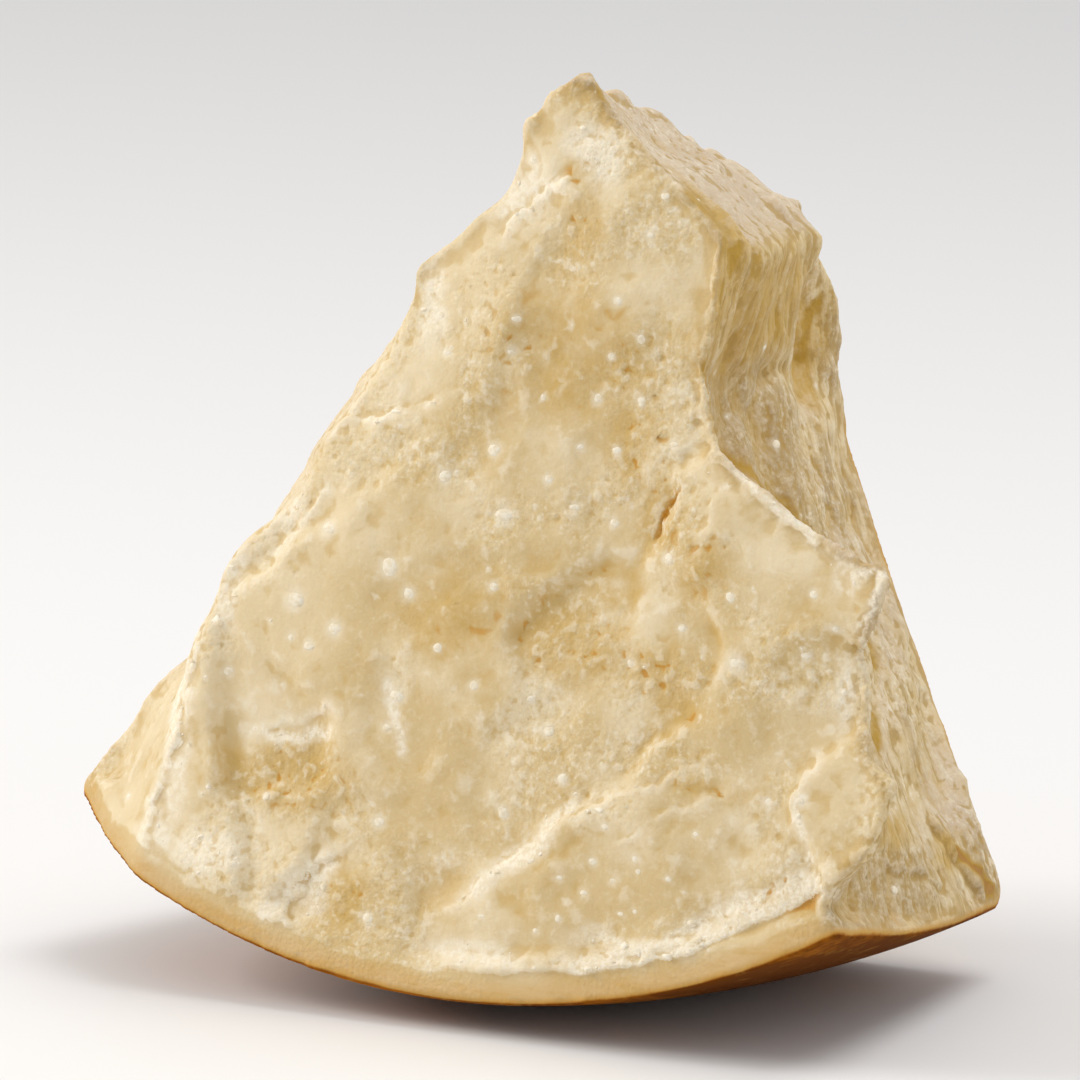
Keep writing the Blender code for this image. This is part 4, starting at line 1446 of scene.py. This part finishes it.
def chosen_points(size, share, salt):
    """At most one mesh point in each cube of a size, in some cubes, off the rind and off edges."""
    order = np.argsort(shuffled(salt))
    cubes, first = np.unique(np.floor(places[order] / size), axis=0, return_index=True)
    found = order[first[scrambled(cubes, salt + 1) < share]]
    on_a_face = np.abs(front[found] - 0.5) > 0.4
    return found[(under_skin(places[found]) > 0.9) & on_a_face]


def halo_round(spots):
    """For each mesh point 1 at the middle of the nearest crystal and 0 well outside it."""
    tree = KDTree(len(spots))
    for number, (place, _, _) in enumerate(spots):
        tree.insert(place, number)
    tree.balance()
    halo = np.zeros(len(points))
    for index, point in enumerate(points):
        _, number, distance = tree.find(point)
        halo[index] = 1.0 - distance / (spots[number][2] * HALO_REACH)
    return np.clip(halo, 0.0, 1.0)


WEDGE_TREE = BVHTree.FromObject(wedge, bpy.context.evaluated_depsgraph_get())
crystal_spots = []
for side, up, radius in NAMED_CRYSTALS:
    place, out = on_wide_break(side, up)
    if place:
        crystal_spots.append((place, out, radius * CRYSTAL_GROWTH * MM))
for index in chosen_points(CRYSTAL_SPACING, CRYSTAL_SHARE, 81):
    radius = (LEAST_CRYSTAL + CRYSTAL_SPREAD * scrambled(np.array([[index, 3, 5]]), 82)[0] ** 3) * MM
    crystal_spots.append((points[index], normals[index], radius))
store(wedge, "halo", halo_round(crystal_spots))
crystals = many_lumps("white_crystals", crystal_spots, CRYSTAL_FLAT, CRYSTAL_SUNK, CRYSTAL_BUMPY, 83)
print(len(crystal_spots), "crystals,", len(crystals.data.polygons), "triangles")

# %% [markdown]
# ## Crumbs that cling
#
# Crumbs stay where the paste was pulled apart: along the crumbling crests, on the shelf above the
# rim and down the left edge. They are chunky rather than round, so their balls are cut into flats.

# %% Scatter the crumbs
CRUMBS = 320
CRUMB_FLAT, CRUMB_SUNK, CRUMB_BUMPY, CRUMB_CUTS = 0.70, 0.45, 0.25, 8
LEAST_CRUMB, CRUMB_SPREAD = 0.4, 1.5


def crumb_spots():
    """Spots for crumbs, most of them where crests crumble most."""
    likely = shuffled(91) / np.maximum(crests, 0.02)
    likely[(under_skin(places) < 0.8) | (crests < 0.3) | (front < 0.8)] = np.inf
    found = []
    for index in np.argsort(likely)[:CRUMBS]:
        radius = (LEAST_CRUMB + CRUMB_SPREAD * scrambled(np.array([[index, 11, 17]]), 92)[0] ** 3) * MM
        found.append((points[index], normals[index], radius))
    return found


crumbs = many_lumps("clinging_crumbs", crumb_spots(), CRUMB_FLAT, CRUMB_SUNK, CRUMB_BUMPY, 93, CRUMB_CUTS)
print("crumbs have", len(crumbs.data.polygons), "triangles")

# %% [markdown]
# Both get a simple material of their own. A crystal is a dull, warm white that is a little cloudy. A
# crumb is the paste's own cream and chalk, with a few specks.

# %% Give the lumps their materials
CRYSTAL_SHADE, CRYSTAL_WHITE, CRYSTAL_SHINE = (0.79, 0.68, 0.49), (0.86, 0.78, 0.62), 0.06
LUMP_RELIEF = 0.3 * MM


def crystal_material():
    recipe = Recipe("crystal_white", roughness=0.65)
    clouds = recipe.noise(1.2 * MM)
    return recipe.finish(
        Base_Color=recipe.mix(CRYSTAL_SHADE, CRYSTAL_WHITE, clouds.between(0.35, 0.6)),
        Roughness=0.60 + clouds * 0.2,
        Specular_IOR_Level=CRYSTAL_SHINE,
        Normal=recipe.bump(recipe.noise(0.5 * MM), LUMP_RELIEF, 0.6),
    )


def crumb_material():
    recipe = Recipe("crumb_cream", roughness=0.6)
    clouds = recipe.noise(3.0 * MM, detail=3.0)
    specks = recipe.noise(0.8 * MM)
    return recipe.finish(
        Base_Color=recipe.layers(
            CREAM, (CHALK, clouds.between(0.35, 0.6)), (OCHRE, specks.between(0.58, 0.75) * 0.3)),
        Roughness=0.55 + clouds * 0.2,
        Normal=recipe.bump(specks, LUMP_RELIEF, 0.5),
    )


crystals.data.materials.append(crystal_material())
crumbs.data.materials.append(crumb_material())
print("materials:", ", ".join(piece.data.materials[0].name for piece in (wedge, crystals, crumbs)))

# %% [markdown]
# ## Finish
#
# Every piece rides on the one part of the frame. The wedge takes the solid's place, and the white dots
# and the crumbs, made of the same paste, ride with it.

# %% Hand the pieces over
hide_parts("cheese_wedge")
for piece in (wedge, crystals, crumbs):
    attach(piece, "root")
select_only(wedge)
bpy.ops.object.shade_smooth()
